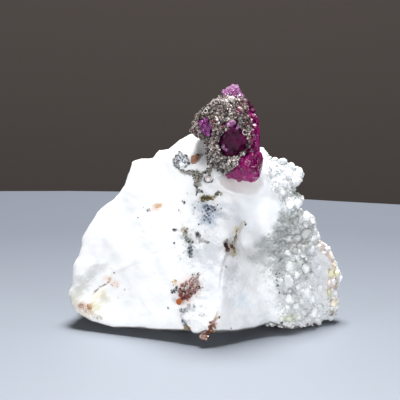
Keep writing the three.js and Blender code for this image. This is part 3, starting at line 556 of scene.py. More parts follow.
VEINS = [
    ([(181, 170), (185, 172.5), (190, 173), (196, 174), (201, 176)], 3.0, (0.22, 0.2, 0.165)),
    ([(197, 173), (199, 178), (198, 184)], 4.4, (0.24, 0.22, 0.175)),
    ([(195, 184), (197.6, 191), (203, 192.5)], 1.7, (0.2, 0.18, 0.15)), ([(197.5, 191), (196.2, 195.6)], 1.2, (0.2, 0.2, 0.18)),
    ([(202, 175), (204, 172.6), (209.4, 173.5), (209.6, 176)], 1.4, (0.2, 0.18, 0.15)), ([(209.4, 173), (210.3, 168.4), (211, 165)], 1.7, (0.25, 0.22, 0.18)),
    ([(203, 196.5), (209, 197), (213, 198), (217.5, 193.5)], 1.9, (0.28, 0.22, 0.12)),
    ([(204, 206), (210, 208), (208, 214)], 3.4, (0.26, 0.31, 0.4)), ([(208, 214), (207, 221)], 2.8, (0.36, 0.41, 0.5)),
    ([(184, 230), (187, 238), (190, 243)], 2.2, (0.34, 0.33, 0.28)), ([(190, 243), (190, 256)], 2.0, (0.3, 0.33, 0.36)),
    ([(196, 234), (200, 240), (208, 242)], 1.7, (0.4, 0.4, 0.4)), ([(174, 230), (178, 230)], 1.4, (0.25, 0.25, 0.26)),
    ([(237, 232.5), (235.4, 239), (234, 245)], 1.1, (0.2, 0.16, 0.12)), ([(225, 243), (227, 250)], 3.0, (0.16, 0.06, 0.04)),
    ([(231, 245), (234, 251)], 1.8, (0.36, 0.27, 0.16)), ([(227, 252), (223.5, 262), (221.5, 272)], 1.3, (0.45, 0.44, 0.45)),
    ([(173, 291), (177, 287)], 2.4, (0.25, 0.24, 0.23)), ([(183, 311), (190, 306)], 2.0, (0.42, 0.43, 0.46)),
    ([(182.5, 320.5), (186, 324.5)], 1.6, (0.3, 0.32, 0.37)), ([(215.5, 319), (212, 326)], 1.6, (0.5, 0.34, 0.26)),
]


STAIN_AND_SHADE_AT = [on_rock(row[0], row[1])[0] for row in STAINS_AND_SHADE]


def stain_and_shade(p, base=WHITE):
    """The colour of each point of the marble or of a grain on it, from the stains and the painted shade."""
    colour = np.tile(base, (len(p), 1))
    ragged = 0.5 * fbm(p, 0.8, 71, 3) + 0.4 * fbm(p, 2.4, 72, 2) + 0.22 * fbm(p, 6.0, 73, 2)
    for (u, v, a, b, turn, tone, strength, rag), at in zip(STAINS_AND_SHADE, STAIN_AND_SHADE_AT):
        if at is None:
            continue
        q = p - at
        x, y, z = q @ RIGHT, q @ UP, q @ INTO
        t = math.radians(turn)
        x, y = x * math.cos(t) - y * math.sin(t), x * math.sin(t) + y * math.cos(t)
        reach = np.sqrt((x / (a * UNIT)) ** 2 + (y / (b * UNIT)) ** 2 + (z / (max(a, b) * UNIT * 1.6)) ** 2)
        k = strength * smooth(reach + rag * ragged, 1.35, 0.3)
        colour = colour * (1 - k[:, None]) + np.array(tone) * k[:, None]
    return colour


def skin(p, n, face):
    shade = 1 + 0.035 * fbm(p, 0.5, 81, 3)
    colour = stain_and_shade(p) * shade[:, None]
    # the hidden sides: faint grey bands and a little iron stain, as on such marble, and painted shade that darkens the
    # whole hidden side
    hidden = smooth(-face, 0.0, 0.3)
    band = smooth(np.abs(fbm(p * np.array([1, 1, 2.0]), 0.1, 91, 3)), 0.12, 0.0)
    colour = colour * (1 - 0.4 * (hidden * band)[:, None]) + np.array([0.36, 0.375, 0.385]) * 0.4 * (hidden * band)[:, None]
    rust = smooth(fbm(p, 0.18, 92, 3), 0.35, 0.9) * hidden
    colour = colour * (1 - 0.45 * rust[:, None]) + np.array([0.55, 0.4, 0.27]) * 0.45 * rust[:, None]
    hidden_side_shade = hidden * (0.3 + 0.14 * fbm(p, 0.3, 53, 3) + 0.08 * fbm(p, 1.4, 54, 2))
    colour = colour * (1 - hidden_side_shade[:, None])
    # grey speckling of the middle, and the vein's own dark ground
    u, v = drawn(p)
    seen_here = smooth(face, 0.0, 0.2)
    grit = smooth(fbm(p, 1.3, 93, 3) + 0.3 * fbm(p, 4.0, 94, 2), 0.0, 0.75)
    where = np.zeros(len(p))
    for a, b, ra, rb in ((203, 216, 17, 30), (192, 243, 24, 22), (205, 175, 16, 18), (190, 292, 24, 16), (200, 312, 26, 12), (186, 158, 14, 12)):
        where = np.maximum(where, smooth(np.hypot((u - a) / ra, (v - b) / rb), 1.1, 0.3))
    k = (0.62 * where * grit * seen_here)[:, None]
    colour = colour * (1 - k) + np.array([0.42, 0.45, 0.49]) * k
    for line, w, tone in VEINS:
        d = edge_distance(u, v, line) + 1.1 * fbm(p, 1.5, 95, 2) + 0.5 * fbm(p, 4.0, 96, 2)
        k = (0.8 * smooth(d, w, w * 0.45) * seen_here)[:, None]
        colour = colour * (1 - k) + np.array(tone) * k
    d = np.abs(np.hypot(u - 181, v - 161) - 7.0) + 0.8 * fbm(p, 1.7, 97, 2)
    k = (0.75 * smooth(d, 1.6, 0.5) * seen_here)[:, None]
    colour = colour * (1 - k) + np.array([0.1, 0.1, 0.1]) * k
    k = (0.5 * smooth(np.hypot(u - 181, v - 161) + fbm(p, 1.7, 98, 2), 7.5, 6) * seen_here)[:, None]
    colour = colour * (1 - k) + np.array([0.45, 0.47, 0.5]) * k
    # the bowl, painted lighter as painted light in its hollow, and the shelf under the ruby
    rag = 1.6 * fbm(p, 0.6, 99, 3)
    k = (0.8 * smooth(inside(u, v, BOWL) + 1.8 * rag, -3, 8) * seen_here)[:, None]
    colour = colour * (1 - k) + np.array([0.9, 0.91, 0.925]) * k * (1 + 0.07 * fbm(p * np.array([1.4, 1.4, 0.6]), 0.5, 55, 3))[:, None]
    # painted shadow: the ruby's cast shadow on the shelf, darkest just under the ruby
    k = (0.66 * smooth(inside(u, v, SHELF) + 0.5 * rag, -0.8, 3.2) * (1 - 0.45 * smooth(v + rag, 184, 197)) * seen_here)[:, None]
    colour = colour * (1 - k) + np.array([0.54, 0.49, 0.47]) * k
    k = smooth(inside(u, v, BULGE), -2, 5) * seen_here
    colour = colour * (1 + 0.09 * k * fbm(p, 0.42, 57, 3))[:, None]
    # dust in the hollow of the crack
    c = edge_distance(u, v, CRACK)
    k = 0.9 * smooth(c + 0.6 * noise(p, 3.0, 59), 1.0, 0.25) * smooth(face, 0.0, 0.2) * smooth(v, 296, 292)
    colour = colour * (1 - k[:, None]) + np.array([0.22, 0.12, 0.07]) * k[:, None]
    # painted shade along the crease beside the spur
    c = edge_distance(u, v, CREASE[:5])
    k = 0.42 * smooth(c + 0.5 * noise(p, 1.5, 58), 1.1, 0.2) * smooth(face, 0.0, 0.2) * smooth(v, 262, 270) * smooth(v, 292, 284)
    colour = colour * (1 - k[:, None]) + np.array([0.4, 0.42, 0.44]) * k[:, None]
    # the underside is painted dark, a painted shade under the rock
    k = (0.85 * smooth(-n[:, 2], 0.45, 0.8) * smooth(p[:, 2], 9, 4))[:, None]
    colour = colour * (1 - k) + np.array([0.13, 0.11, 0.095]) * k
    return np.clip(colour, 0, 1)


# ------------------------------------------------------------------ grains
TEMPLATE = {k: ball(k) for k in (1, 2, 3, 4, 6)}


def cluster(name, items, level, kind="round", flat=False):
    """One mesh from many grains. item: centre, 3x3 axes in mm, seed, colour."""
    t, tf = TEMPLATE[level]
    points, tris, colours = [], [], []
    for i, (centre, axes, seed, colour) in enumerate(items):
        rng = np.random.default_rng(seed)
        q = t.copy()
        if kind == "round":
            q = q * (1 + 0.26 * noise(q + 7.3 * (seed % 97), 1.3, seed % 89) + 0.12 * noise(q, 2.9, seed % 83))[:, None]
            for _ in range(5):
                m = unit(rng.normal(size=3))
                k = q @ m - rng.uniform(0.66, 0.88)
                q = q - 0.85 * np.where(k > 0, k, 0)[:, None] * m
        else:
            for _ in range(7 if kind == "block" else 9):
                m = unit(rng.normal(size=3))
                k = q @ m - rng.uniform(0.55, 0.8)
                q = q - np.where(k > 0, k, 0)[:, None] * m
            q = q / np.abs(q).max()
        points.append(centre + q @ axes)
        tris.append(tf + i * len(t))
        colours.append(np.tile(colour, (len(t), 1)))
    return make(name, np.concatenate(points), np.concatenate(tris), np.concatenate(colours), flat=flat)


def axes_on(n, across, up, deep, turn, rng=None, tumble=0.0):
    n = unit(n + (tumble * rng.normal(size=3) if tumble else 0))
    side = np.cross(UP, n)
    side = side / max(np.linalg.norm(side), 1e-6)
    rise = np.cross(n, side)
    c, s = math.cos(turn), math.sin(turn)
    return np.array([(side * c + rise * s) * across, (rise * c - side * s) * up, n * deep])


# ------------------------------------------------------------------ materials
def material(name):
    m = bpy.data.materials.new(name)
    m.use_nodes = True
    return m, m.node_tree, m.node_tree.nodes["Principled BSDF"]


def put(o, m):
    o.data.materials.clear()
    o.data.materials.append(m)


def node(nt, kind, **inputs):
    n = nt.nodes.new(kind)
    for k, v in inputs.items():
        n.inputs[k.replace("_", " ")].default_value = v
    return n


def tinted(name, low, high, noise_scale, rough=(0.4, 0.6), bump=(0.2, 900.0, 0.00006), sub=0.0, extra=None):
    """The tint that a piece carries in its points, varied by noise, with a fine bump."""
    m, nt, b = material(name)
    link = nt.links.new
    where = nt.nodes.new("ShaderNodeTexCoord")
    tint = nt.nodes.new("ShaderNodeVertexColor")
    tint.layer_name = "tint"
    n1 = node(nt, "ShaderNodeTexNoise", Scale=noise_scale, Detail=4.0, Roughness=0.6)
    link(where.outputs["Object"], n1.inputs["Vector"])
    ramp = nt.nodes.new("ShaderNodeValToRGB")
    ramp.color_ramp.elements[0].position = 0.3
    ramp.color_ramp.elements[0].color = (low, low, low, 1)
    ramp.color_ramp.elements[1].position = 0.7
    ramp.color_ramp.elements[1].color = (high, high, high, 1)
    link(n1.outputs["Fac"], ramp.inputs["Fac"])
    mix = nt.nodes.new("ShaderNodeMix")
    mix.data_type = "RGBA"
    mix.blend_type = "MULTIPLY"
    mix.inputs["Factor"].default_value = 1.0
    link(tint.outputs["Color"], mix.inputs[6])
    link(ramp.outputs["Color"], mix.inputs[7])
    link(mix.outputs[2], b.inputs["Base Color"])
    r = nt.nodes.new("ShaderNodeMapRange")
    r.inputs["To Min"].default_value, r.inputs["To Max"].default_value = rough
    link(n1.outputs["Fac"], r.inputs["Value"])
    link(r.outputs["Result"], b.inputs["Roughness"])
    n2 = node(nt, "ShaderNodeTexNoise", Scale=bump[1], Detail=3.0, Roughness=0.6)
    link(where.outputs["Object"], n2.inputs["Vector"])
    bp = node(nt, "ShaderNodeBump", Strength=bump[0], Distance=bump[2])
    link(n2.outputs["Fac"], bp.inputs["Height"])
    link(bp.outputs["Normal"], b.inputs["Normal"])
    if sub:
        b.inputs["Subsurface Weight"].default_value = sub
        b.inputs["Subsurface Radius"].default_value = (1.0, 0.95, 0.9)
        b.inputs["Subsurface Scale"].default_value = 0.0009
    if extra:
        for k, val in extra.items():
            b.inputs[k].default_value = val
    return m


MARBLE = tinted("marble", 0.97, 1.03, 260.0, (0.45, 0.6), (0.25, 1500.0, 0.00006), 0.35)
CALCITE = tinted("calcite", 0.95, 1.05, 500.0, (0.3, 0.5), (0.25, 1800.0, 0.00005), 0.45)
CRUST = tinted("mica_crust", 0.55, 1.3, 1800.0, (0.3, 0.6), (0.6, 4200.0, 0.00008), 0.0)
FLAKES = tinted("mica_flakes", 0.7, 1.25, 2600.0, (0.18, 0.45), (0.4, 5200.0, 0.00005), 0.0, {"Specular IOR Level": 0.8})
GRAIN = tinted("vein_grains", 0.7, 1.2, 2200.0, (0.15, 0.4), (0.35, 4200.0, 0.00005), 0.0, {"Specular IOR Level": 0.7})
GEM = tinted("small_gems", 0.7, 1.3, 1500.0, (0.08, 0.25), (0.25, 3000.0, 0.00004), 0.0, {"Transmission Weight": 0.35, "IOR": 1.6})


def ruby_material(name, colour, deep, density, transmission, glow, shine=0.22, rough=(0.14, 0.42)):
    m, nt, b = material(name)
    link = nt.links.new
    where = nt.nodes.new("ShaderNodeTexCoord")
    n1 = node(nt, "ShaderNodeTexNoise", Scale=420.0, Detail=5.0, Roughness=0.65)
    link(where.outputs["Object"], n1.inputs["Vector"])
    ramp = nt.nodes.new("ShaderNodeValToRGB")
    ramp.color_ramp.elements[0].position = 0.36
    ramp.color_ramp.elements[0].color = (*deep, 1)
    ramp.color_ramp.elements[1].position = 0.66
    ramp.color_ramp.elements[1].color = (*colour, 1)
    link(n1.outputs["Fac"], ramp.inputs["Fac"])
    link(ramp.outputs["Color"], b.inputs["Base Color"])
    r = nt.nodes.new("ShaderNodeMapRange")
    r.inputs["To Min"].default_value, r.inputs["To Max"].default_value = rough
    link(n1.outputs["Fac"], r.inputs["Value"])
    link(r.outputs["Result"], b.inputs["Roughness"])
    n2 = node(nt, "ShaderNodeTexNoise", Scale=1100.0, Detail=4.0, Roughness=0.65)
    link(where.outputs["Object"], n2.inputs["Vector"])
    chips = nt.nodes.new("ShaderNodeTexVoronoi")
    chips.inputs["Scale"].default_value = 1150.0
    link(where.outputs["Object"], chips.inputs["Vector"])
    add = nt.nodes.new("ShaderNodeMath")
    add.operation = "MULTIPLY_ADD"
    add.inputs[1].default_value = 0.75
    link(chips.outputs["Distance"], add.inputs[0])
    link(n2.outputs["Fac"], add.inputs[2])
    bp = node(nt, "ShaderNodeBump", Strength=0.8, Distance=0.00022)
    b.inputs["Specular IOR Level"].default_value = shine
    link(add.outputs["Value"], bp.inputs["Height"])
    link(bp.outputs["Normal"], b.inputs["Normal"])
    b.inputs["IOR"].default_value = 1.77
    b.inputs["Transmission Weight"].default_value = transmission
    b.inputs["Subsurface Weight"].default_value = glow
    b.inputs["Subsurface Radius"].default_value = (1.0, 0.12, 0.5)
    b.inputs["Subsurface Scale"].default_value = 0.002
    vol = nt.nodes.new("ShaderNodeVolumeAbsorption")
    vol.inputs["Color"].default_value = (0.9, 0.06, 0.5, 1)
    vol.inputs["Density"].default_value = density
    link(vol.outputs["Volume"], nt.nodes["Material Output"].inputs["Volume"])
    return m


# two copies of one ruby material, lit and shaded: the dark copy of the window is painted shade, the bright copy of the
# flank is painted light
RUBY_SHADED = ruby_material("ruby_shaded", (0.115, 0.001, 0.055), (0.016, 0.0002, 0.009), 500.0, 0.1, 0.05, 0.02, (0.35, 0.6))
RUBY_LIT = ruby_material("ruby_lit", (0.58, 0.003, 0.27), (0.15, 0.0003, 0.065), 200.0, 0.5, 0.25, 0.16, (0.16, 0.42))
RUBY_TIP = ruby_material("ruby_tip", (0.9, 0.54, 0.83), (0.45, 0.09, 0.4), 90.0, 0.6, 0.35, 0.35)
RUBY_VIOLET = ruby_material("ruby_violet", (0.5, 0.1, 0.42), (0.2, 0.02, 0.18), 200.0, 0.5, 0.2)


# ------------------------------------------------------------------ marble body
# painted shade: the marble is darkened in the gaps between the calcite domes of the flank
shade = 1 - 0.38 * smooth(rock_gap_shade, 0.05, 0.45)[:, None]
o = make("marble_body", rock, rock_f, skin(rock, rock_n, rock_face) * shade)
put(o, MARBLE)
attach(o, "root")
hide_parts("marble_matrix")

# ------------------------------------------------------------------ the larger calcite grains
# drawing x, y, half width, half height, turn in degrees, how far it stands out
KNOBS = [
    (262.5, 150.5, 2.2, 2.2, 0, 0.3), (269.5, 156, 3.2, 2.4, 0, 0.0), (265, 154, 2.4, 2, 0, 0.0), (276, 157.8, 3, 2.6, 0, 0.05), (284, 158.6, 6.6, 3.6, 4, 0.35),
    (291.5, 165, 4.6, 4, 0, 0.15), (301.4, 172.5, 3.7, 6.2, -14, 0.4), (297, 180, 3.2, 4.2, -14, 0.3), (289, 175, 4.6, 4.4, 0, 0.0),
    (281, 168, 4, 4, 0, -0.2), (274, 165, 3.6, 3, 0, -0.3), (285, 184, 3.4, 3.4, 0, 0.0), (283, 193, 3.4, 3, 0, 0.1), (279, 200, 2.4, 2.4, 0, 0.0),
    (296.8, 203.3, 4.2, 4.4, 0, 0.35), (302.4, 201, 3.0, 3.8, 0, 0.3), (290, 205, 3.8, 4.2, 0, 0.25), (285.5, 210, 2.4, 2.4, 0, 0.1),
    (304.5, 216.5, 5.2, 5.4, 0, 0.3), (311.5, 221.5, 3.4, 3.8, 0, 0.3), (296, 221, 3.2, 5.6, -6, 0.25), (300, 227, 2.4, 2.6, 0, 0.1),
    (316, 230, 2.4, 2.2, 0, 0.35), (310.5, 229, 3, 3.4, 0, 0.25), (319.5, 237.5, 3.0, 2.8, 0, 0.35), (325.5, 244, 2.2, 2.8, 0, 0.3),
    (305, 233.8, 5.8, 5.2, 0, 0.4), (296.8, 238, 4.6, 4.6, 0, 0.1), (313.5, 238, 3.8, 3.6, 0, 0.15), (289, 230, 2.2, 2.2, 0, 0.2),
    (303.5, 248.5, 4.8, 4.6, 0, 0.35), (287.5, 252.8, 3.6, 3.4, 0, 0.25), (283.5, 243, 2.8, 3.0, 0, 0.3), (278.5, 249, 1.8, 1.8, 0, 0.2),
    (311.5, 249, 3.6, 4, 0, 0.05), (295.5, 250, 3, 3, 0, 0.1), (290, 265, 6.8, 6.2, 0, 0.05), (299, 262, 4, 4.6, 0, 0.15),
    (305, 268, 4.2, 5.2, 0, 0.35), (311.5, 275, 2.8, 3.2, 0, 0.3), (306.5, 258, 3.4, 3.2, 0, 0.2), (282.5, 261, 2.6, 2.4, 0, 0.1),
    (288.5, 281, 4.8, 7.2, 14, 0.15), (297, 275, 3.4, 3.8, 0, 0.15), (298, 286, 3.6, 4, 0, 0.1), (304, 282, 3, 3, 0, 0.15),
    (306, 293, 5, 6.4, 0, 0.35), (310.5, 299, 4.2, 5.2, 0, 0.3), (301, 301.5, 3.6, 3.8, 0, 0.25), (290, 299.5, 5, 4.8, 0, 0.15),
    (295.5, 306.5, 3.8, 3.8, 0, 0.3), (287.5, 308, 3.4, 3.2, 0, 0.25), (282, 301, 2.8, 2.8, 0, 0.2), (281.5, 310.5, 2.8, 2.8, 0, 0.25),
    (303, 311.5, 4, 3.6, 0, 0.25), (312, 314, 6.2, 6.2, 25, 0.3), (317.5, 315.5, 3.2, 3.0, 0, 0.2), (307, 319.5, 4.2, 3.4, 0, 0.3),
    (297.5, 317.5, 4.2, 4, 0, 0.25), (288.5, 318.5, 5, 4.2, 0, 0.2), (282, 318, 3, 3, 0, 0.25), (292, 322, 3.6, 2.4, 0, 0.2),
    (319, 306, 3, 3.4, 0, 0.15), (324.5, 309.5, 3.2, 2.8, 0, 0.15), (330, 255.5, 2.6, 4.0, -15, 0.3), (326.5, 249.5, 2.2, 2.8, 0, 0.3),
    (333, 264.5, 2.6, 2.8, 0, 0.3), (336.5, 272.5, 3.2, 3.2, 0, 0.35), (330.5, 272.5, 3.0, 3.0, 0, 0.25), (333, 281.5, 2.6, 3.6, 0, 0.25),
    (329, 283, 2.6, 3.4, 0, 0.2), (332, 289.5, 2.4, 3, 0, 0.25), (328.5, 291.8, 2.4, 3.0, 0, 0.2), (333, 297.5, 2.6, 2.8, 0, 0.25),
    (333, 303.5, 3.8, 3.6, 0, 0.3), (336.5, 306, 3.0, 2.8, 0, 0.3), (331, 307.5, 3, 2.6, 0, 0.2),
    (305.5, 224.5, 3.4, 3.2, 0, 0.35), (313, 230.5, 3.0, 3.0, 0, 0.4), (309.5, 243.6, 3.6, 3.2, 0, 0.35), (297.5, 231, 3.2, 3.0, 0, 0.3),
    (318.5, 246.5, 3.2, 3.4, 0, 0.3), (303, 255, 3.6, 3, 0, 0.3), (314.5, 256, 3.4, 3.6, 0, 0.2), (318.5, 268, 3.6, 4, 0, 0.05), (319.5, 289, 4, 4.6, 0, 0.05),
]


def toned(items, rng, low, high):
    """The same grains with the colour of the marble where each of them sits, its painted shade included."""
    tones = stain_and_shade(np.array([row[0] for row in items]))
    tones = np.clip(tones * rng.uniform(low, high, (len(items), 1)), 0, 0.94)
    return [(c, axes, seed, tone) for (c, axes, seed), tone in zip(items, tones)]


rng = np.random.default_rng(7)
items = []
for i, (u, v, a, b, turn, out) in enumerate(KNOBS):
    at, n = on_rock(u, v)
    if at is None:
        continue
    a, b = a * UNIT, b * UNIT
    c = 0.5 * (a + b)
    items.append((at + n * ((out - 0.25) * c), axes_on(n, a, b, c, math.radians(turn)), 100 + i))
items = toned(items, rng, 0.94, 1.16)
o = cluster("calcite_knobs", items, 6, "round")
put(o, CALCITE)
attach(o, "root")

# ------------------------------------------------------------------ the small calcite grains
rng = np.random.default_rng(11)
items = []
tries = 0
want = 300
while len(items) < want and tries < 8000:
    tries += 1
    u, v = rng.uniform(262, 340), rng.uniform(150, 322)
    uu, vv = np.array([u]), np.array([v])
    if inside(uu, vv, FLANK)[0] < rng.uniform(-1, 5) or inside(uu, vv, BAND)[0] > -1 or (v < 178 and u < 292 and rng.random() < 0.7):
        continue
    at, n = on_rock(u, v)
    if at is None:
        continue
    r = (0.15 + 0.3 * rng.random() ** 2.2) * (1.0 + 0.25 * (u > 290))
    axes = axes_on(n, r * rng.uniform(0.85, 1.15), r * rng.uniform(0.85, 1.35), r, rng.uniform(-0.6, 0.6), rng, 0.2)
    items.append((at + n * r * rng.uniform(-0.2, 0.4), axes, 1000 + tries))
# the same crust of grains goes on round the right end
picks = np.where((rock[:, 0] > 12) & (rock_face < 0.05) & (rock[:, 1] < 9) & (rock[:, 2] > 1))[0]
for k in rng.choice(picks, min(len(picks), 220), replace=False):
    if rng.random() > smooth(rock[k, 1], 9, 1):
        continue
    r = 0.25 + 0.55 * rng.random() ** 2
    axes = axes_on(rock_n[k], r, r * rng.uniform(0.85, 1.3), r, rng.uniform(-0.6, 0.6), rng, 0.2)
    items.append((rock[k] + rock_n[k] * r * 0.1, axes, 5000 + int(k)))
o = cluster("calcite_grains", toned(items, rng, 0.93, 1.19), 3, "round")
put(o, CALCITE)
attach(o, "root")

# sugar of little sharp crystals between them
rng = np.random.default_rng(12)
items = []
tries = 0
want = 1500
while len(items) < want and tries < 12000:
    tries += 1
    u, v = rng.uniform(255, 340), rng.uniform(148, 327)
    uu, vv = np.array([u]), np.array([v])
    deep = inside(uu, vv, FLANK)[0]
    if deep < rng.uniform(-4, 2) and not (inside(uu, vv, BULGE)[0] > 0 and rng.random() < 0.12):
        continue
    if inside(uu, vv, BAND)[0] > 0 and rng.random() < 0.85:
        continue
    at, n = on_rock(u, v)
    if at is None:
        continue
    r = 0.09 + 0.16 * rng.random() ** 1.5
    axes = axes_on(n, r, r * rng.uniform(0.8, 1.3), r * rng.uniform(0.8, 1.4), rng.uniform(0, 3), rng, 0.35)
    items.append((at + n * r * rng.uniform(-0.1, 0.5), axes, 20000 + tries))
o = cluster("calcite_sugar", toned(items, rng, 0.84, 1.2), 1, "block", flat=True)
put(o, CALCITE)
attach(o, "root")

# ------------------------------------------------------------------ the ruby
SET_BACK = 3.0


def corners(rows, back=SET_BACK):
    return [seen(u, v, y + back) for u, v, y in rows]


MAIN = corners([
    (217, 157, -12.4), (216.5, 127.5, -12.1), (227.8, 126, -13.1), (227.6, 158.5, -13.5), (233.5, 161, -13.3),
    (245, 153.5, -12.9), (249, 133, -12.1), (237, 121, -11.9), (228, 112, -9.8), (241, 106, -8.2), (232, 103, -4),
    (246, 107, -4), (256, 116, -7.5), (258.5, 128, -8.5), (258.5, 152, -9), (257, 128, -2), (256, 165, -1), (240, 172, 0),
    (218, 150, 0), (216, 128, -3), (222, 168, -7), (240, 170, -10),
])
LOW_BLOCK = corners([
    (226, 171, -12.5), (240, 160, -14.4), (251, 153, -13.6), (260, 153.5, -11), (263.5, 158, -10),
    (262.5, 166, -10.6), (259.5, 177.5, -11.4), (255, 181.8, -12), (246, 181, -13.6),
    (234, 179.4, -13.4), (225.5, 176.2, -12), (256, 172, -15), (243, 170, -15.4), (232, 174, -5),
    (256, 176, -4.5), (262, 160, -4.5), (238, 158, -5),
])
EDGE = corners([
    (248.5, 113, -9.5), (253.5, 112, -7.4), (258.6, 120, -8.2), (260.2, 134, -9.4), (260, 151, -10),
    (247, 153, -12.9), (247.5, 128, -12.0), (254, 124, -3.5), (256, 148, -3.5),
])
TIP = corners([
    (224.5, 90, -7.4), (224, 97, -8), (228, 87, -6.4), (233.5, 84.6, -6), (239.5, 88, -6),
    (242, 95, -6.6), (244, 99, -5.2), (236, 110, -8.6), (228, 106, -7.6), (232, 88, -2.6),
    (243, 110, -4.4), (230, 108, -4.2),
])
SMALL = corners([
    (199.8, 120.5, -11.6), (207.5, 118.6, -12), (211.6, 126, -12.4), (212.4, 134.4, -12.4), (207, 136, -12.4),
    (202.2, 134.2, -11.8), (199.3, 128, -11.6), (206, 125.5, -12.9), (201, 122, -6), (208, 121, -6),
    (208.5, 132, -6), (202, 132, -6),
])


def crystal(centre, r, length, tilt, rng):
    """Corners of a short six-sided crystal."""
    z = unit(tilt)
    x = unit(np.cross(z, [0.3, 0.5, 0.8]))
    y = np.cross(z, x)
    out = []
    start = rng.uniform(0, 1)
    for i in range(6):
        a = (i + start) * math.pi / 3
        for h, k in ((-0.5, 0.9), (0.35, 1.0), (0.5, 0.72)):
            out.append(centre + (x * math.cos(a) + y * math.sin(a)) * r * k + z * h * length)
    return out


def joined(shapes):
    """Convex shapes, each a list of corners, joined with their sharp edges kept."""
    objects = []
    for row in shapes:
        bm = bmesh.new()
        for c in row:
            bm.verts.new(Vector(c))
        bmesh.ops.convex_hull(bm, input=bm.verts, use_existing_faces=False)
        loose = [v for v in bm.verts if not v.link_faces]
        bmesh.ops.delete(bm, geom=loose, context="VERTS")
        bmesh.ops.recalc_face_normals(bm, faces=bm.faces)
        mesh = bpy.data.meshes.new("hull")
        bm.to_mesh(mesh)
        bm.free()
        o = bpy.data.objects.new("hull", mesh)
        bpy.context.scene.collection.objects.link(o)
        objects.append(o)
    base = objects[0]
    for other in objects[1:]:
        m = base.modifiers.new("b", "BOOLEAN")
        m.operation = "UNION"
        m.solver = "MANIFOLD"
        m.object = other
    got = bpy.data.meshes.new_from_object(base.evaluated_get(bpy.context.evaluated_depsgraph_get()))
    p, f = arrays(got)
    for o in objects:
        mesh = o.data
        bpy.data.objects.remove(o)
        bpy.data.meshes.remove(mesh)
    bpy.data.meshes.remove(got)
    return p, f


def sprinkle(rows, rng, lean=(0.1, -0.3, 0.9), wild=0.8):
    return [crystal(seen(u, v, y + SET_BACK), r, l, unit(np.array(lean) + wild * rng.normal(size=3)), rng) for u, v, y, r, l in rows]


SHOULDER = corners([
    (241, 98, -6.4), (244.5, 98.8, -5.0), (248.4, 105, -5.8), (252, 112.5, -7.0), (254.6, 117, -8.2), (249, 117, -10.2),
    (243.5, 104, -8.4), (246, 102, -2.8), (250, 113, -3.2),
])

rng = np.random.default_rng(23)
shapes = [MAIN, SHOULDER] + sprinkle([
    (250.5, 108, -6.9, 0.5, 1.2), (252.4, 112, -7.6, 0.6, 1.3), (247.6, 103.6, -6.4, 0.5, 1.1),
    (223, 148.6, -12.75, 0.55, 1.0), (226, 146.8, -13.15, 0.35, 0.8), (222, 152, -12.4, 0.5, 0.9), (231, 126.4, -12.5, 0.6, 1.0),
    (243, 148, -12.55, 0.9, 2.0), (246, 139, -12.1, 0.8, 2.0), (236, 154, -12.9, 0.8, 1.4), (240.5, 131.5, -12.0, 0.8, 1.5),
], rng, (0.1, -0.15, 1.0), 0.35)
p, f = joined(shapes)
o = make("ruby_main", p, f, flat=True)
put(o, RUBY_SHADED)
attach(o, "root")
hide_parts("ruby_crystal")

p, f = joined([LOW_BLOCK, EDGE])
flank_tree = BVHTree.FromPolygons([tuple(q) for q in p], [tuple(int(i) for i in t) for t in f])
chips = []
tries = 0
while len(chips) < 34 and tries < 900:
    tries += 1
    u, v = rng.uniform(226, 262), rng.uniform(116, 181)
    at, n, _, _ = flank_tree.ray_cast(Vector(EYE), Vector(sight(u, v)))
    if at is None or n.dot(Vector(sight(u, v))) > -0.25 or u > 257.5 + 3 * (v > 155):
        continue
    r = rng.uniform(0.35, 0.9) if v > 150 else rng.uniform(0.2, 0.5)
    tilt = unit(np.array(n) * 0.15 + np.array([0.15, -0.05, 0.9]) + 0.4 * rng.normal(size=3))
    chips.append(crystal(np.array(at) - np.array(n) * 0.62 * r, r, r * rng.uniform(1.4, 2.6), tilt, rng))
shapes = [LOW_BLOCK, EDGE] + chips + sprinkle([
    (257.4, 158.5, -11.0, 0.6, 1.0), (247, 164, -13.9, 1.1, 1.6), (236, 174, -12.7, 0.9, 1.4), (254, 174.5, -13.0, 1.1, 1.4), (251, 158, -13.1, 0.8, 1.3),
    (257, 168, -11.9, 0.8, 1.2), (243, 171, -14.3, 1.1, 1.5), (230, 175.5, -12.2, 0.7, 1.1), (255, 164, -12.8, 0.9, 1.4), (248, 175.5, -13.5, 1.0, 1.2),
    (240, 166, -13.7, 0.8, 1.2), (255.6, 153, -11.6, 0.6, 1.0), (251, 151, -12.4, 0.8, 1.4), (251, 169.5, -14.1, 0.8, 1.2), (246, 168, -14.5, 0.5, 0.8),
    (257, 160, -12.2, 0.5, 0.9), (245, 160, -13.6, 0.5, 0.9), (256.5, 171, -12.7, 0.5, 0.9), (238, 170, -13.6, 0.5, 0.9), (243.5, 176.5, -13.6, 0.5, 0.9),
    (255.6, 119, -8.3, 0.45, 1.0), (256.6, 127, -9.1, 0.45, 1.2), (256.8, 137, -9.8, 0.45, 1.2), (256.4, 146, -10.5, 0.5, 1.2), (254.5, 127, -10.3, 0.5, 1.2),
    (253.6, 136, -11.0, 0.6, 1.5), (254.4, 146, -11.4, 0.7, 1.5), (253.5, 117, -9.2, 0.5, 1.2), (251, 141, -12.1, 0.6, 1.4), (251.4, 131, -11.5, 0.5, 1.2),
    (250.5, 122, -11.0, 0.5, 1.2), (256.5, 132, -10.0, 0.4, 0.9), (256, 141, -10.8, 0.4, 0.9), (255.8, 122.5, -9.2, 0.4, 0.9),
], rng, (0.15, -0.1, 1.0), 0.4)
p, f = joined(shapes)
o = make("ruby_flank", p, f, flat=True)
put(o, RUBY_LIT)
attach(o, "root")

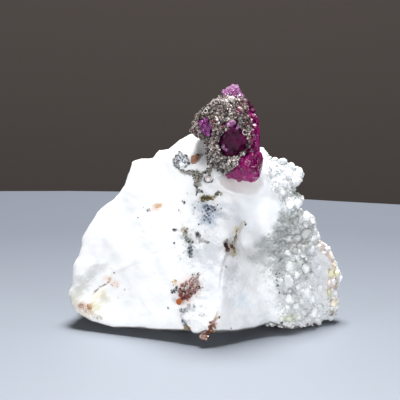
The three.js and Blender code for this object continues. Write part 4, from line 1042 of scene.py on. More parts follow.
shapes = [TIP] + sprinkle([
    (226, 92.6, -7.0, 0.5, 1.6), (229, 90, -6.4, 0.7, 0.9), (232.6, 87.4, -6.0, 0.4, 1.3), (236, 87.6, -5.8, 0.65, 0.9), (239, 91, -6.0, 0.42, 1.2),
    (241, 95.4, -6.2, 0.5, 1.1), (228, 95, -7.5, 0.36, 0.9), (231.4, 93, -7.0, 0.75, 1.0), (236, 92.4, -6.9, 0.45, 1.6),
    (233.6, 97, -7.7, 0.5, 1.5), (238.4, 96.6, -7.2, 0.62, 1.0), (244.6, 101, -6.4, 0.4, 1.0),
    # the crystals at drawing y 122 to 150 sit in the window: pale pieces painted as its glints and its light streak
    (222.6, 147.4, -13.0, 0.32, 0.8), (225.6, 149.2, -13.3, 0.34, 0.9), (224, 145.6, -13.2, 0.24, 0.6), (226.4, 134.5, -12.75, 0.16, 1.7),
    (229.6, 124.6, -13.6, 0.42, 1.2), (232.6, 122.8, -13.5, 0.5, 1.1), (237.6, 127.2, -13.2, 0.26, 1.0), (225.5, 96, -8.0, 0.45, 1.0), (242, 101, -7.2, 0.5, 1.1), (230, 99, -8.4, 0.5, 1.0),
], rng, (0, -0.25, 1.0), 1.3)
p, f = joined(shapes)
o = make("ruby_tip_crystals", p, f, flat=True)
put(o, RUBY_TIP)
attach(o, "root")

shapes = [SMALL] + sprinkle([
    (202, 124, -12.0, 0.6, 1.3), (206.5, 121.5, -12.2, 0.6, 1.2), (209, 127.5, -12.4, 0.7, 1.4), (204, 129.5, -12.2, 0.6, 1.3),
    (208.5, 132.8, -12.4, 0.6, 1.2), (211, 133, -12.0, 0.5, 1.0), (205.5, 126, -12.8, 0.5, 1.0),
], rng, (-0.1, -0.3, 1.0), 0.5)
p, f = joined(shapes)
o = make("ruby_small", p, f, flat=True)
put(o, RUBY_VIOLET)
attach(o, "root")
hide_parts("ruby_crystal_small")

# ------------------------------------------------------------------ the mica crust
CRUST_CORE = seen(222, 136, -7.5 + SET_BACK)
CRUST_RIM = [
    (231, 97, -6), (224, 96.5, -6), (219, 98.5, -6), (212, 103, -6.5), (205, 108.5, -7), (198, 114.5, -7),
    (194, 120.5, -7), (192.4, 127.5, -6.5), (193, 133, -6.5), (196.5, 136, -6.5), (205, 139.5, -8),
    (206.5, 148, -9), (208, 158, -10), (210, 165.5, -11), (216, 167, -11.5), (222.5, 172, -11.5),
    (226, 174.5, -12.5), (232, 168, -13.5), (239.5, 161.5, -13.5), (244.5, 152, -13.2), (249.3, 141, -12.8),
    (250.4, 126, -12), (249.6, 115, -11), (246.4, 104.5, -9.5), (242.6, 98.5, -8),
]
CRUST_FACES = [
    ((-0.35, -0.93, 0.1), (216, 150, -13.6)), ((0.05, -0.92, 0.38), (236, 116, -12.4)),
    ((-0.55, -0.75, 0.36), (204, 117, -11.2)), ((0.2, -0.98, -0.05), (240, 156, -14.8)),
    ((0.0, 0.9, 0.44), (222, 115, -2.4)), ((-0.5, 0.85, 0.1), (200, 130, -3.4)), ((0.45, 0.85, 0.2), (245, 130, -3)),
]
WINDOW = [
    (219.6, 138.6), (221.4, 134.6), (224.6, 131.4), (228.4, 128.8), (231.6, 127), (234, 124), (237, 123.6), (239.4, 127), (241.4, 129.8),
    (245, 132.6), (247.4, 136), (248.8, 140.4), (247, 145.4), (243.8, 149.6), (240.6, 152.4), (236.6, 155.4), (232, 157), (226.5, 156.6),
    (222, 154), (219, 148.6), (218.4, 143),
]
LITTLE = [(199.6, 120), (204.6, 118), (209.4, 120.8), (212, 126.6), (213.2, 131.5), (212.4, 136), (207, 136.8), (203, 134.6), (200, 130), (199, 125)]


def crust_radius(d):
    pts = []
    for u, v, y in CRUST_RIM:
        q = seen(u, v, y + SET_BACK) - CRUST_CORE
        pts.append((q @ RIGHT, q @ UP, q @ INTO))
    tr, tc = rim_table(np.array(pts), 3600)
    da, db, dc = d @ RIGHT, d @ UP, d @ INTO
    flat = np.maximum(np.hypot(da, db), 1e-6)
    turn = np.arctan2(db, da)
    r0, c0 = look_up(tr, turn), look_up(tc, turn)
    big = np.full(len(d), 1e3)
    rows = [
        np.where(flat + 0.35 * dc > 1e-3, (r0 + 0.35 * c0) / np.maximum(flat + 0.35 * dc, 1e-3), big),
        np.where(flat - 0.12 * dc > 1e-3, (r0 - 0.12 * c0) / np.maximum(flat - 0.12 * dc, 1e-3), big),
    ]
    for n, (u, v, y) in CRUST_FACES:
        n = unit(n)
        k = d @ n
        rows.append(np.where(k > 1e-3, (n @ (seen(u, v, y + SET_BACK) - CRUST_CORE)) / np.maximum(k, 1e-3), big))
    rows = np.stack(rows)
    least = rows.min(0)
    return least - np.log(np.exp(-3.5 * np.minimum(rows - least, 60)).sum(0)) / 3.5


d, f = ball(66)
d = unit(d + np.array([0, -0.4, 0]))
r = crust_radius(d)
p = CRUST_CORE + d * r[:, None]
n = normals(p, f)
u, v = drawn(p)
face = -(n * unit(p - EYE)).sum(1)
gap = inside(u, v, WINDOW)
gap2 = inside(u, v, LITTLE)
ragged = 0.8 * fbm(p, 1.3, 105, 2)
h = 0.28 * fbm(p, 0.7, 101, 3)
crest = np.zeros(len(p))
for size, amount, seed in ((1.35, 1.05, 102), (0.66, 0.95, 103)):
    one, two, label, _ = cells(p + 0.25 * np.stack([noise(p, 1.5, k) for k in (1, 2, 3)], 1), size, seed, 0.95)
    dome = np.sqrt(np.clip(1 - (one / (0.62 * size)) ** 2, 0, 1)) - 0.45
    h += amount * dome * 0.62 * size * (0.4 + 0.6 * label)
    crest += dome * (0.5 + 0.5 * label)
p = p + n * h[:, None]
dip = 4.2 * smooth(gap + ragged, -0.6, 2.0) * smooth(face, 0, 0.3) + 2.4 * smooth(gap2 + 0.6 * ragged, -0.6, 1.6) * smooth(face, 0, 0.3)
p = p + np.outer(dip, sight(230, 140))
crust_p, crust_f, crust_n = p, f, n
crust_tree = BVHTree.FromPolygons([tuple(q) for q in p], [tuple(int(i) for i in t) for t in f])
# the crust body is dark maroon in the gaps between its grains and lighter on their crests: partly the crust's own dark
# ground, partly painted shade in the gaps
k = smooth(crest, -0.4, 0.55)[:, None]
maroon = np.array([0.045, 0.006, 0.014])
tone = maroon * (1 - k) + np.array([0.14, 0.115, 0.1]) * (0.5 + 0.7 * label[:, None]) * k
o = make("crust_body", p, f, tone)
put(o, CRUST)
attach(o, "root")
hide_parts("mica_crust")

TONES = {
    "tan": (0.25, 0.205, 0.175), "grey": (0.22, 0.195, 0.185), "silver": (0.6, 0.555, 0.53), "brown": (0.1, 0.06, 0.05),
    "dark": (0.018, 0.012, 0.012), "olive": (0.2, 0.17, 0.1), "pink": (0.19, 0.05, 0.11), "maroon": (0.16, 0.015, 0.05),
}


def pick(rng, weights):
    names = list(weights)
    w = np.array([weights[k] for k in names], float)
    return np.array(TONES[names[rng.choice(len(names), p=w / w.sum())]]) * rng.uniform(0.7, 1.3)


CRUST_EDGE = [(u, v) for u, v, _ in CRUST_RIM]
rng = np.random.default_rng(31)
flakes, blocks, rings = [], [], []
tries = 0
want = 3000
while len(flakes) + len(blocks) + len(rings) < want and tries < 90000:
    tries += 1
    u, v = rng.uniform(187, 257), rng.uniform(94, 177)
    uu, vv = np.array([u]), np.array([v])
    if inside(uu, vv, CRUST_EDGE)[0] < -1.3:
        continue
    at, n = on(crust_tree, u, v, (222, 134))
    if at is None or at[1] > 2:
        continue
    edge = inside(uu, vv, WINDOW)[0] + 0.8 * fbm(at[None], 1.3, 105, 2)[0]
    if edge > -0.4 + (1.5 if u > 240 and v > 138 else 0) or inside(uu, vv, LITTLE)[0] > 0.0:
        continue
    fine = v > 137 and u < 242
    bare = fbm(at[None], 0.75, 107, 2)[0]
    if not fine and bare > -0.02 and rng.random() < 0.78:
        continue
    if fine:
        r = 0.09 + 0.15 * rng.random() ** 1.6
        weights = {"tan": 2, "grey": 5, "silver": 3.2, "brown": 1.4, "dark": 4.2}
    else:
        r = 0.1 + 0.25 * rng.random() ** 1.9
        weights = {"tan": 5, "grey": 4, "silver": 2.6, "brown": 2.8, "dark": 3.4, "olive": 0.8, "pink": 0.5, "maroon": 1.3}
        if u > 236 and v < 120 and (u - 236) > 0.55 * (v - 112):
            weights = {"maroon": 4, "pink": 0.8, "brown": 3, "grey": 2, "tan": 2, "silver": 0.8, "dark": 2.5}
        if 224 < u < 240 and 97 < v < 106:
            weights = {"grey": 4, "silver": 6, "tan": 2, "pink": 1, "dark": 1}
    colour = pick(rng, weights) * (1.25 + 0.75 * fbm(at[None], 0.42, 108, 2)[0])
    kind = rng.random()
    if kind < (0.06 if fine else 0.1):
        r *= 1.1
        axes = axes_on(unit(n - 0.8 * sight(u, v)), r, r * rng.uniform(0.7, 1.1), r * 1.2, rng.uniform(0, 3), rng, 0.45)
        rings.append((at + n * r * 0.35, axes, 9000 + tries, np.clip(colour * 0.95, 0, 1)))
    elif kind < 0.5:
        axes = axes_on(n, r * 1.3, r * 1.1, r * 0.28, rng.uniform(0, 3), rng, 0.8)
        flakes.append((at + n * r * 0.3, axes, 9000 + tries, colour))
    else:
        axes = axes_on(n, r, r * rng.uniform(0.8, 1.2), r * 0.85, rng.uniform(0, 3), rng, 0.4)
        blocks.append((at + n * r * 0.15, axes, 9000 + tries, colour))
hidden = np.where(-(crust_n * unit(crust_p - EYE)).sum(1) < 0.05)[0]
for k in rng.choice(hidden, 900, replace=False):
    r = 0.14 + 0.3 * rng.random() ** 1.6
    axes = axes_on(crust_n[k], r * 1.15, r, r * (0.3 if rng.random() < 0.4 else 0.85), rng.uniform(0, 3), rng, 0.5)
    blocks.append((crust_p[k] + crust_n[k] * r * 0.2, axes, 30000 + int(k), pick(rng, {"tan": 4, "grey": 4, "silver": 2, "brown": 2, "dark": 3})))
# single grains that stand out: a ring beside the window, a pale flake above it, a dark point below
for u, v, a, b, tone in ((245.4, 131.8, 0.48, 0.52, "silver"), (241.8, 126.6, 0.36, 0.4, "tan"), (213, 103.6, 0.4, 0.4, "silver"), (206, 111.5, 0.36, 0.42, "silver"),
                         (197, 115.6, 0.4, 0.4, "tan"), (216.5, 101.5, 0.42, 0.38, "silver"), (221, 108, 0.4, 0.45, "tan"), (234, 112, 0.4, 0.4, "tan")):
    at, n = on(crust_tree, u, v, (222, 134))
    rings.append((at + n * 0.15, axes_on(unit(n - 1.5 * sight(u, v)), a, b, 0.45, 0.4), int(u * 10), np.array(TONES[tone]) * 0.95))
at, n = on(crust_tree, 223.2, 169.5, (222, 134))
blocks.append((at + UP * -0.35 + n * 0.1, axes_on(n, 0.3, 0.75, 0.35, 0.15), 3, np.array(TONES["dark"])))


def ring_cluster(name, items):
    """Small curved flakes seen as rings."""
    m, k = (9, 5)
    a, b = np.meshgrid(np.arange(m) * 2 * math.pi / m, np.arange(k) * 2 * math.pi / k, indexing="ij")
    a, b = a.ravel(), b.ravel()
    t = np.stack([np.cos(a) * (1 + 0.24 * np.cos(b)), np.sin(a) * (1 + 0.24 * np.cos(b)), 0.3 * np.sin(b)], 1)
    tf = []
    for i in range(m):
        for j in range(k):
            q = [i * k + j, ((i + 1) % m) * k + j, ((i + 1) % m) * k + (j + 1) % k, i * k + (j + 1) % k]
            tf += [(q[0], q[1], q[2]), (q[0], q[2], q[3])]
    tf = np.array(tf)
    points, tris, colours = [], [], []
    for i, (centre, axes, seed, colour) in enumerate(items):
        q = t * (1 + 0.18 * noise(t + 5.1 * (seed % 91), 1.4, seed % 73))[:, None]
        points.append(centre + q @ axes)
        tris.append(tf + i * len(t))
        colours.append(np.tile(colour, (len(t), 1)))
    return make(name, np.concatenate(points), np.concatenate(tris), np.concatenate(colours))


o = cluster("crust_flakes", flakes, 2, "block", flat=True)
put(o, FLAKES)
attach(o, "root")
o = ring_cluster("crust_curls", rings)
put(o, FLAKES)
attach(o, "root")
o = cluster("crust_granules", blocks, 2, "block", flat=True)
put(o, CRUST)
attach(o, "root")

# ------------------------------------------------------------------ grains in the marble
GREY = (0.33, 0.33, 0.33)
DARK = (0.035, 0.036, 0.04)
BLUE = (0.12, 0.14, 0.19)
OLIVE = (0.16, 0.13, 0.035)
TAN = (0.5, 0.42, 0.28)
GLASS = (0.66, 0.69, 0.74)
grains = []  # vein and specks
rng = np.random.default_rng(41)


def speck(u, v, a, b, colour, sink=0.1, deep=None, turn=None, seed=None, where=None):
    at, n = on_rock(u, v)
    if at is None:
        return
    a, b = a * UNIT, b * UNIT
    c = (deep * UNIT) if deep else 0.7 * min(a, b)
    axes = axes_on(n, a, b, c, rng.uniform(0, 3) if turn is None else math.radians(turn), rng, 0.12)
    colour = np.array(colour) * rng.uniform(0.8, 1.2)
    (grains if where is None else where).append((at + n * (0.25 - sink) * c, axes, int(rng.integers(1, 10**6)), np.clip(colour, 0, 1)))


def scatter(n, u, v, ru, rv, turn, sizes, colours, where=None, ring=0.0):
    """Grains scattered in an ellipse of the drawing, or along its edge."""
    t = math.radians(turn)
    for _ in range(n):
        a = rng.uniform(0, 2 * math.pi)
        k = rng.uniform(1 - ring, 1.05) if ring else math.sqrt(rng.random())
        x, y = math.cos(a) * ru * k, math.sin(a) * rv * k
        s = rng.uniform(*sizes)
        speck(u + x * math.cos(t) - y * math.sin(t), v + x * math.sin(t) + y * math.cos(t), s, s * rng.uniform(0.7, 1.2),
              colours[rng.integers(len(colours))], where=where)


def along(points, step, width, sizes, colours, where=None):
    pts = np.array(points, float)
    for a, b in zip(pts[:-1], pts[1:]):
        m = max(int(np.linalg.norm(b - a) / step), 1)
        for i in range(m):
            q = a + (b - a) * (i + rng.random()) / m + rng.normal(size=2) * width
            s = rng.uniform(*sizes)
            speck(q[0], q[1], s, s * rng.uniform(0.7, 1.3), colours[rng.integers(len(colours))], where=where)


# the glassy mica patch and its dark rim
scatter(60, 181, 161, 7.6, 8.0, 20, (0.5, 1.0), [DARK, GREY, (0.12, 0.12, 0.12), (0.2, 0.2, 0.19)], ring=0.22)
scatter(40, 181.5, 160.5, 6, 6.2, 0, (0.8, 1.7), [GLASS, (0.36, 0.38, 0.41), (0.22, 0.23, 0.25), (0.5, 0.52, 0.55), (0.14, 0.15, 0.16)])
scatter(8, 183, 166.4, 3, 2.4, 0, (1.3, 2.2), [(0.78, 0.8, 0.82), (0.7, 0.72, 0.75)])
for u, v, a in ((178.9, 160.2, 1.3), (182.5, 159.7, 1.3), (176, 156, 1.1), (186.5, 156, 1.2), (174.6, 163, 1.2), (189.3, 163.3, 1.8)):
    speck(u, v, a, a, DARK)
speck(179.4, 151.6, 1.5, 0.9, (0.12, 0.13, 0.14), turn=0)
# the granular vein from the patch to the right and down
along([(181, 170), (185, 172.5), (190, 173)], 0.6, 0.8, (0.6, 1.2), [DARK, GREY, (0.14, 0.14, 0.13)])
scatter(64, 193, 173, 5.5, 3.2, 15, (0.5, 1.1), [GREY, (0.3, 0.26, 0.2), (0.13, 0.12, 0.1), DARK, DARK, (0.42, 0.4, 0.34)])
scatter(90, 197.5, 177.5, 4.6, 6.4, -10, (0.5, 1.15), [(0.3, 0.28, 0.22), GREY, (0.14, 0.13, 0.1), DARK, DARK, TAN])
scatter(26, 209.5, 169.5, 2.6, 3.4, 10, (0.5, 1.0), [(0.3, 0.28, 0.24), GREY, (0.12, 0.11, 0.09), DARK])
scatter(16, 204.5, 172.5, 2.6, 1.8, -20, (0.5, 1.0), [(0.3, 0.28, 0.24), (0.12, 0.11, 0.09), DARK])
along([(195, 184), (196.5, 187), (197.6, 190.5), (200, 190), (203, 192)], 0.6, 0.5, (0.6, 1.1), [DARK, (0.16, 0.15, 0.13), GREY])
along([(197.5, 191), (196.2, 195.6)], 0.6, 0.4, (0.6, 1.0), [DARK, GREY])
along([(202, 175), (204, 172.6), (206.5, 171.5), (209.4, 173.5), (209.6, 176)], 0.6, 0.5, (0.6, 1.1), [DARK, (0.16, 0.15, 0.13)])
along([(209.4, 173), (210.3, 168.4), (211, 165)], 0.6, 0.6, (0.6, 1.1), [DARK, GREY, (0.2, 0.18, 0.14)])
# the white pebble with its dark rim
along([(204, 177), (204.6, 180.5), (207.5, 182.6), (211.5, 182), (213, 179.5)], 0.45, 0.25, (0.5, 0.8), [DARK, (0.09, 0.07, 0.07)])
pale = []
speck(208.3, 178.8, 3.6, 3.0, (0.84, 0.74, 0.72), sink=-0.2, turn=-20, where=pale, deep=2.4)
speck(205.8, 176.8, 1.8, 1.6, (0.78, 0.78, 0.78), where=pale)
# olive crystals, the branch to their right
scatter(14, 206, 196.5, 4, 1.2, 0, (0.5, 1.0), [OLIVE, (0.22, 0.19, 0.07), DARK])
scatter(12, 212, 198.5, 3.4, 2.2, 0, (0.6, 1.1), [(0.22, 0.17, 0.08), (0.1, 0.08, 0.05), TAN])
scatter(10, 216, 195.3, 2.2, 2.4, 0, (0.7, 1.3), [DARK, (0.1, 0.09, 0.07)])
scatter(8, 218.5, 192.6, 2.0, 1.4, 0, (0.6, 1.1), [DARK, (0.2, 0.19, 0.12)])
scatter(7, 221.4, 194.6, 1.6, 2.0, 0, (0.6, 1.1), [(0.3, 0.3, 0.2), (0.4, 0.4, 0.32)])
# the blue-grey patch
for u, v, a, b, c in (
    (207.5, 205.6, 2.2, 1.2, BLUE), (205, 206.8, 1.5, 1.3, BLUE), (208.5, 209.3, 2.0, 1.8, DARK), (211.5, 206.5, 1.4, 1.2, BLUE),
    (213.5, 207.8, 1.6, 1.6, BLUE), (214.8, 209.8, 1.4, 1.4, DARK), (212.4, 211.2, 1.3, 1.2, BLUE), (206.3, 211, 1.2, 1.6, BLUE),
    (204.6, 215.6, 1.0, 1.4, BLUE), (206.6, 217, 1.6, 0.9, BLUE), (209, 216, 1.0, 1.5, BLUE), (207.4, 213.8, 1.5, 0.8, BLUE),
    (204.4, 220.2, 1.4, 1.2, (0.16, 0.19, 0.22)), (208.2, 219.6, 1.1, 1.6, BLUE), (210, 222.6, 1.3, 1.9, (0.16, 0.19, 0.26)), (202.5, 212, 0.8, 0.8, BLUE),
):
    speck(u, v, a, b, c)
scatter(26, 208.5, 212, 7, 8, 0, (0.5, 1.2), [(0.4, 0.45, 0.54), (0.3, 0.34, 0.42), (0.55, 0.6, 0.68), BLUE])
speck(206.8, 215.3, 1.5, 1.3, (0.85, 0.88, 0.94), where=pale)
# the weathered left corner and the orange spot
scatter(12, 158, 205.8, 4.2, 2.0, -15, (0.4, 0.9), [(0.7, 0.42, 0.22), (0.55, 0.3, 0.14), (0.8, 0.56, 0.36)], where=pale)
scatter(7, 148.5, 210, 2.6, 1.4, 0, (0.4, 0.8), [(0.4, 0.36, 0.33), (0.6, 0.52, 0.46)], where=pale)
scatter(26, 87, 311.2, 3.6, 2.6, 35, (0.5, 1.2), [(0.86, 0.76, 0.64), (0.8, 0.62, 0.5), (0.7, 0.5, 0.36)], where=pale)
scatter(18, 89.6, 307.2, 2.4, 2.8, 0, (0.5, 1.1), [(0.5, 0.27, 0.12), (0.4, 0.2, 0.09), (0.62, 0.4, 0.24)], where=pale)
scatter(16, 81.6, 305.8, 3.2, 2.2, 30, (0.5, 1.2), [(0.5, 0.32, 0.26), (0.6, 0.42, 0.34), (0.42, 0.26, 0.2)], where=pale)
scatter(14, 99, 317.5, 4, 2.2, 20, (0.5, 1.1), [(0.8, 0.8, 0.74), (0.62, 0.62, 0.55), (0.5, 0.5, 0.42)], where=pale)
scatter(14, 115, 284.4, 4, 3, 0, (0.4, 0.8), [(0.74, 0.5, 0.42), (0.6, 0.42, 0.36), (0.84, 0.64, 0.56)], where=pale)
# single specks
for u, v, a, b, c in (
    (184.4, 202.9, 1.9, 1.6, (0.06, 0.08, 0.08)), (182.4, 201.2, 0.8, 0.8, DARK), (178.9, 210.2, 1.0, 0.8, (0.16, 0.17, 0.18)), (180.4, 212, 0.6, 0.6, GREY),
    (194.8, 207.9, 0.8, 1.7, (0.07, 0.1, 0.11)), (198.5, 202, 0.9, 0.8, (0.15, 0.13, 0.14)), (217.5, 204.7, 0.9, 0.8, DARK), (221.2, 208.4, 1.0, 0.8, DARK),
    (198.9, 224.3, 1.1, 1.0, (0.05, 0.08, 0.12)), (187.5, 193.4, 0.7, 0.7, GREY), (147.5, 210.2, 1.3, 1.0, (0.16, 0.16, 0.16)), (137.8, 217.5, 0.9, 0.8, (0.1, 0.1, 0.1)),
    (143.5, 207.5, 0.6, 0.6, GREY), (174, 229.8, 2.0, 1.4, (0.07, 0.07, 0.08)), (176, 229.4, 1.1, 1.1, (0.16, 0.15, 0.17)), (174.4, 243, 1.3, 1.2, (0.07, 0.07, 0.08)),
    (197.8, 234.2, 2.3, 2.4, DARK), (199.6, 235.8, 1.8, 1.6, (0.16, 0.16, 0.17)), (196.6, 237, 1.1, 1.1, (0.2, 0.2, 0.21)), (188.9, 242, 1.9, 1.0, DARK),
    (186.6, 239.5, 1.2, 1.5, (0.13, 0.15, 0.14)), (192.8, 242.2, 1.8, 1.2, (0.08, 0.08, 0.08)), (190.8, 240.2, 1.2, 1.0, (0.24, 0.25, 0.24)), (189, 248.3, 1.9, 1.6, (0.09, 0.11, 0.13)),
    (191.4, 250.3, 1.5, 1.7, (0.1, 0.12, 0.14)), (189.6, 251.7, 1.4, 1.0, DARK), (191.8, 253.6, 1.0, 1.4, (0.12, 0.13, 0.14)), (190, 256.6, 1.5, 1.3, (0.16, 0.18, 0.18)),
    (192.2, 256.9, 1.1, 1.3, (0.24, 0.26, 0.26)), (185.6, 231.2, 1.7, 1.5, (0.13, 0.1, 0.04)), (183.4, 235.5, 0.9, 1.2, (0.3, 0.3, 0.27)), (186, 236.5, 1.2, 1.3, (0.2, 0.21, 0.2)),
    (202.4, 240.5, 1.4, 0.7, (0.3, 0.3, 0.29)), (205.2, 241.6, 1.6, 0.7, (0.36, 0.36, 0.35)), (208.4, 242.2, 0.9, 1.3, (0.22, 0.22, 0.22)), (180.4, 258.6, 1.2, 0.6, (0.4, 0.4, 0.38)),
    (245.3, 224.4, 1.4, 1.6, (0.04, 0.04, 0.05)), (244.7, 222.2, 0.8, 0.8, DARK), (114.3, 272.8, 1.1, 0.9, (0.12, 0.12, 0.1)), (168, 307.8, 1.1, 1.6, (0.26, 0.28, 0.3)),
    (226.7, 240.6, 2.2, 1.4, (0.24, 0.22, 0.22)), (231.2, 328.2, 0.9, 0.7, DARK), (219.2, 317.2, 1.5, 1.1, (0.04, 0.04, 0.05)), (226, 266.8, 1.3, 1.2, (0.3, 0.31, 0.32)),
    (276.3, 274.3, 1.2, 0.8, (0.07, 0.08, 0.12)), (279.4, 273.2, 0.9, 0.8, (0.07, 0.08, 0.12)), (277.5, 285.5, 0.8, 1.7, (0.06, 0.07, 0.1)), (279.6, 292.6, 1.3, 0.9, DARK), (278.6, 289, 0.6, 1.4, (0.16, 0.18, 0.22)),
    (276.4, 279.8, 0.6, 1.6, (0.1, 0.11, 0.14)), (281.5, 322.5, 1.8, 1.8, (0.05, 0.04, 0.03)), (270.5, 270, 1.0, 0.8, (0.2, 0.22, 0.25)), (283, 268.5, 1.2, 0.8, (0.1, 0.11, 0.12)),
    (88, 304.6, 0.7, 1.2, (0.3, 0.15, 0.09)), (124.7, 289.5, 1.3, 0.9, (0.45, 0.45, 0.45)), (118.4, 297.7, 0.6, 1.2, (0.6, 0.6, 0.6)),
):
    speck(u, v, a, b, c)
scatter(16, 185, 230.7, 4.0, 3.4, 0, (0.5, 0.9), [(0.5, 0.44, 0.3), (0.35, 0.31, 0.2), (0.24, 0.2, 0.1)], ring=0.3)
scatter(14, 198, 234.8, 3.2, 3.2, 0, (0.5, 1.0), [(0.3, 0.3, 0.31), (0.14, 0.14, 0.15), DARK])
scatter(16, 188, 239.5, 3.6, 3.4, 0, (0.5, 1.1), [(0.3, 0.32, 0.3), (0.16, 0.18, 0.17), DARK, (0.5, 0.5, 0.48)])
scatter(22, 190.3, 251, 2.8, 4.8, 0, (0.5, 1.2), [(0.2, 0.24, 0.28), (0.12, 0.15, 0.18), DARK, (0.42, 0.46, 0.5)])
scatter(30, 188, 244, 8, 12, 0, (0.4, 0.9), [(0.45, 0.46, 0.45), (0.3, 0.31, 0.31), (0.6, 0.6, 0.58)])
scatter(14, 204, 241.5, 6, 3.5, 10, (0.4, 0.9), [(0.5, 0.5, 0.49), (0.36, 0.36, 0.36)])
# the tan streak above the crystal at the spur
along([(237.6, 228.5), (236.2, 233), (234.5, 238), (233, 243)], 0.6, 0.5, (0.5, 0.9), [(0.09, 0.08, 0.06), (0.3, 0.24, 0.15)])
scatter(14, 236.8, 230.5, 2.4, 3.2, 0, (0.6, 1.2), [(0.72, 0.6, 0.42), (0.8, 0.7, 0.52), (0.55, 0.42, 0.26)], where=pale)
# dark grains left of the brown cluster, and its dark upper edge
for u, v, a in ((172.2, 292.4, 1.4), (174.2, 290.6, 1.5), (176.6, 287.5, 1.4), (174.9, 292.6, 1.0), (171.3, 290.4, 0.9), (173.5, 285.2, 0.6), (176.4, 290.2, 0.9)):
    speck(u, v, a, a, DARK)
scatter(22, 196, 275.6, 5.0, 3.2, -20, (0.6, 1.2), [(0.22, 0.2, 0.17), (0.34, 0.32, 0.28), DARK, (0.6, 0.58, 0.56), (0.7, 0.7, 0.7)])
scatter(9, 174.4, 281.6, 2.2, 1.6, -30, (0.5, 1.0), [(0.7, 0.56, 0.36), (0.56, 0.44, 0.28)])
scatter(12, 201, 287, 2.2, 4, 0, (0.6, 1.1), [(0.5, 0.5, 0.5), (0.4, 0.38, 0.37)])
scatter(14, 183, 310.6, 4.4, 2.0, 10, (0.5, 1.1), [(0.16, 0.18, 0.21), (0.4, 0.42, 0.45), DARK])
scatter(16, 191, 306.4, 5, 2.6, 0, (0.5, 1.0), [(0.55, 0.56, 0.57), (0.35, 0.37, 0.38)])
scatter(10, 204, 315.5, 5.5, 1.6, 0, (0.5, 0.9), [(0.55, 0.56, 0.58), (0.42, 0.43, 0.45)])
along([(182, 320.2), (184, 322.4), (186, 324.6)], 0.5, 0.4, (0.6, 1.0), [(0.16, 0.19, 0.25), (0.1, 0.12, 0.16), GREY])
scatter(12, 187.4, 328.2, 2.8, 2.2, 0, (0.6, 1.2), [(0.5, 0.38, 0.26), (0.36, 0.26, 0.18), (0.2, 0.16, 0.13)])
scatter(26, 275.6, 276, 4.4, 7, -12, (0.35, 0.75), [(0.2, 0.22, 0.3), (0.1, 0.12, 0.18), (0.34, 0.37, 0.44)])
scatter(10, 280, 268, 4, 4, 0, (0.35, 0.7), [(0.34, 0.37, 0.42), (0.2, 0.22, 0.27)])
scatter(9, 277.8, 287, 1.8, 6, -14, (0.35, 0.75), [(0.3, 0.33, 0.38), (0.14, 0.15, 0.18)])
o = cluster("vein_grains", grains, 2, "block", flat=False)
put(o, GRAIN)
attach(o, "root")
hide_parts("mica_patch", "mica_vein_upper", "mica_vein_middle", "mica_vein_lower")
o = cluster("pale_grains", pale, 4, "block", flat=False)
put(o, CALCITE)
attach(o, "root")

# amber, olive and dark brown crystals
gems = []
speck(194.4, 159.3, 4.2, 5.0, (0.5, 0.26, 0.16), turn=-15, deep=3.0, where=gems)
speck(197.2, 156.8, 2.3, 2.5, (0.3, 0.1, 0.035), deep=2.6, sink=-0.4, where=gems)
speck(192.6, 162.6, 1.6, 1.8, (0.42, 0.26, 0.14), deep=1.8, sink=-0.1, where=gems)
speck(180.6, 301, 3.5, 3.7, (0.52, 0.13, 0.02), deep=3.4, sink=-0.55, where=gems)
o = cluster("amber_crystals", gems, 6, "block")
put(o, GEM)
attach(o, "root")
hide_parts("amber_grain_upper", "amber_grain_lower")
gems = []
speck(203, 199.7, 2.8, 2.9, (0.16, 0.12, 0.02), deep=2.6, sink=-0.2, where=gems)
speck(208.9, 199.2, 2.4, 2.6, (0.12, 0.09, 0.025), deep=2.4, sink=-0.2, where=gems)
o = cluster("olive_crystals", gems, 6, "block")
put(o, GEM)
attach(o, "root")
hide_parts("olive_grain_left", "olive_grain_right")
gems = []
speck(225.9, 245.2, 2.4, 2.6, (0.035, 0.012, 0.01), deep=2.2, where=gems)
speck(227.6, 249.2, 2.5, 2.6, (0.1, 0.015, 0.01), deep=2.2, where=gems)
speck(231.2, 246.6, 2.6, 2.2, (0.16, 0.07, 0.03), deep=1.6, where=gems)
speck(233.6, 248.2, 1.8, 2.6, (0.26, 0.16, 0.07), deep=1.2, where=gems)
speck(234.4, 252.2, 1.4, 1.8, (0.5, 0.4, 0.2), deep=1.0, where=gems)
o = cluster("dark_crystals", gems, 6, "block")
put(o, GEM)
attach(o, "root")
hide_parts("brown_grain_spur")

# the brown cluster
BROWN_AREA = [
    (179.4, 286.9), (184.8, 282.4), (189.4, 279.6), (193.9, 275.4), (199.4, 274.6), (198.5, 278.7), (199.4, 284.2),
    (200.3, 288.7), (197.5, 291.5), (192, 296), (188.5, 299.6), (183.9, 300.8), (179.5, 297.5), (178.2, 290.5),
]
gems = []
while len(gems) < 300:
    u, v = rng.uniform(177, 202), rng.uniform(273, 303)
    if inside(np.array([u]), np.array([v]), BROWN_AREA)[0] < 0.2:
        continue
    k = ((u - 178) - (v - 300)) / 46  # from the lower left to the upper right
    deepred, rosy, cream = np.array([0.28, 0.065, 0.05]), np.array([0.47, 0.27, 0.25]), np.array([0.72, 0.6, 0.56])
    colour = deepred + (rosy - deepred) * min(k * 1.7, 1) if k < 0.6 else rosy + (cream - rosy) * min((k - 0.6) * 2.2, 1)
    if rng.random() < 0.13:
        colour = np.array([0.06, 0.03, 0.025])
    # pale grains painted as the cluster's glints
    elif rng.random() < 0.22:
        colour = np.array([0.84, 0.7, 0.68])
    s = rng.uniform(0.5, 1.35)
    speck(u, v, s, s * rng.uniform(0.7, 1.5), colour, deep=s * 0.9, sink=-rng.uniform(0, 0.8), where=gems)
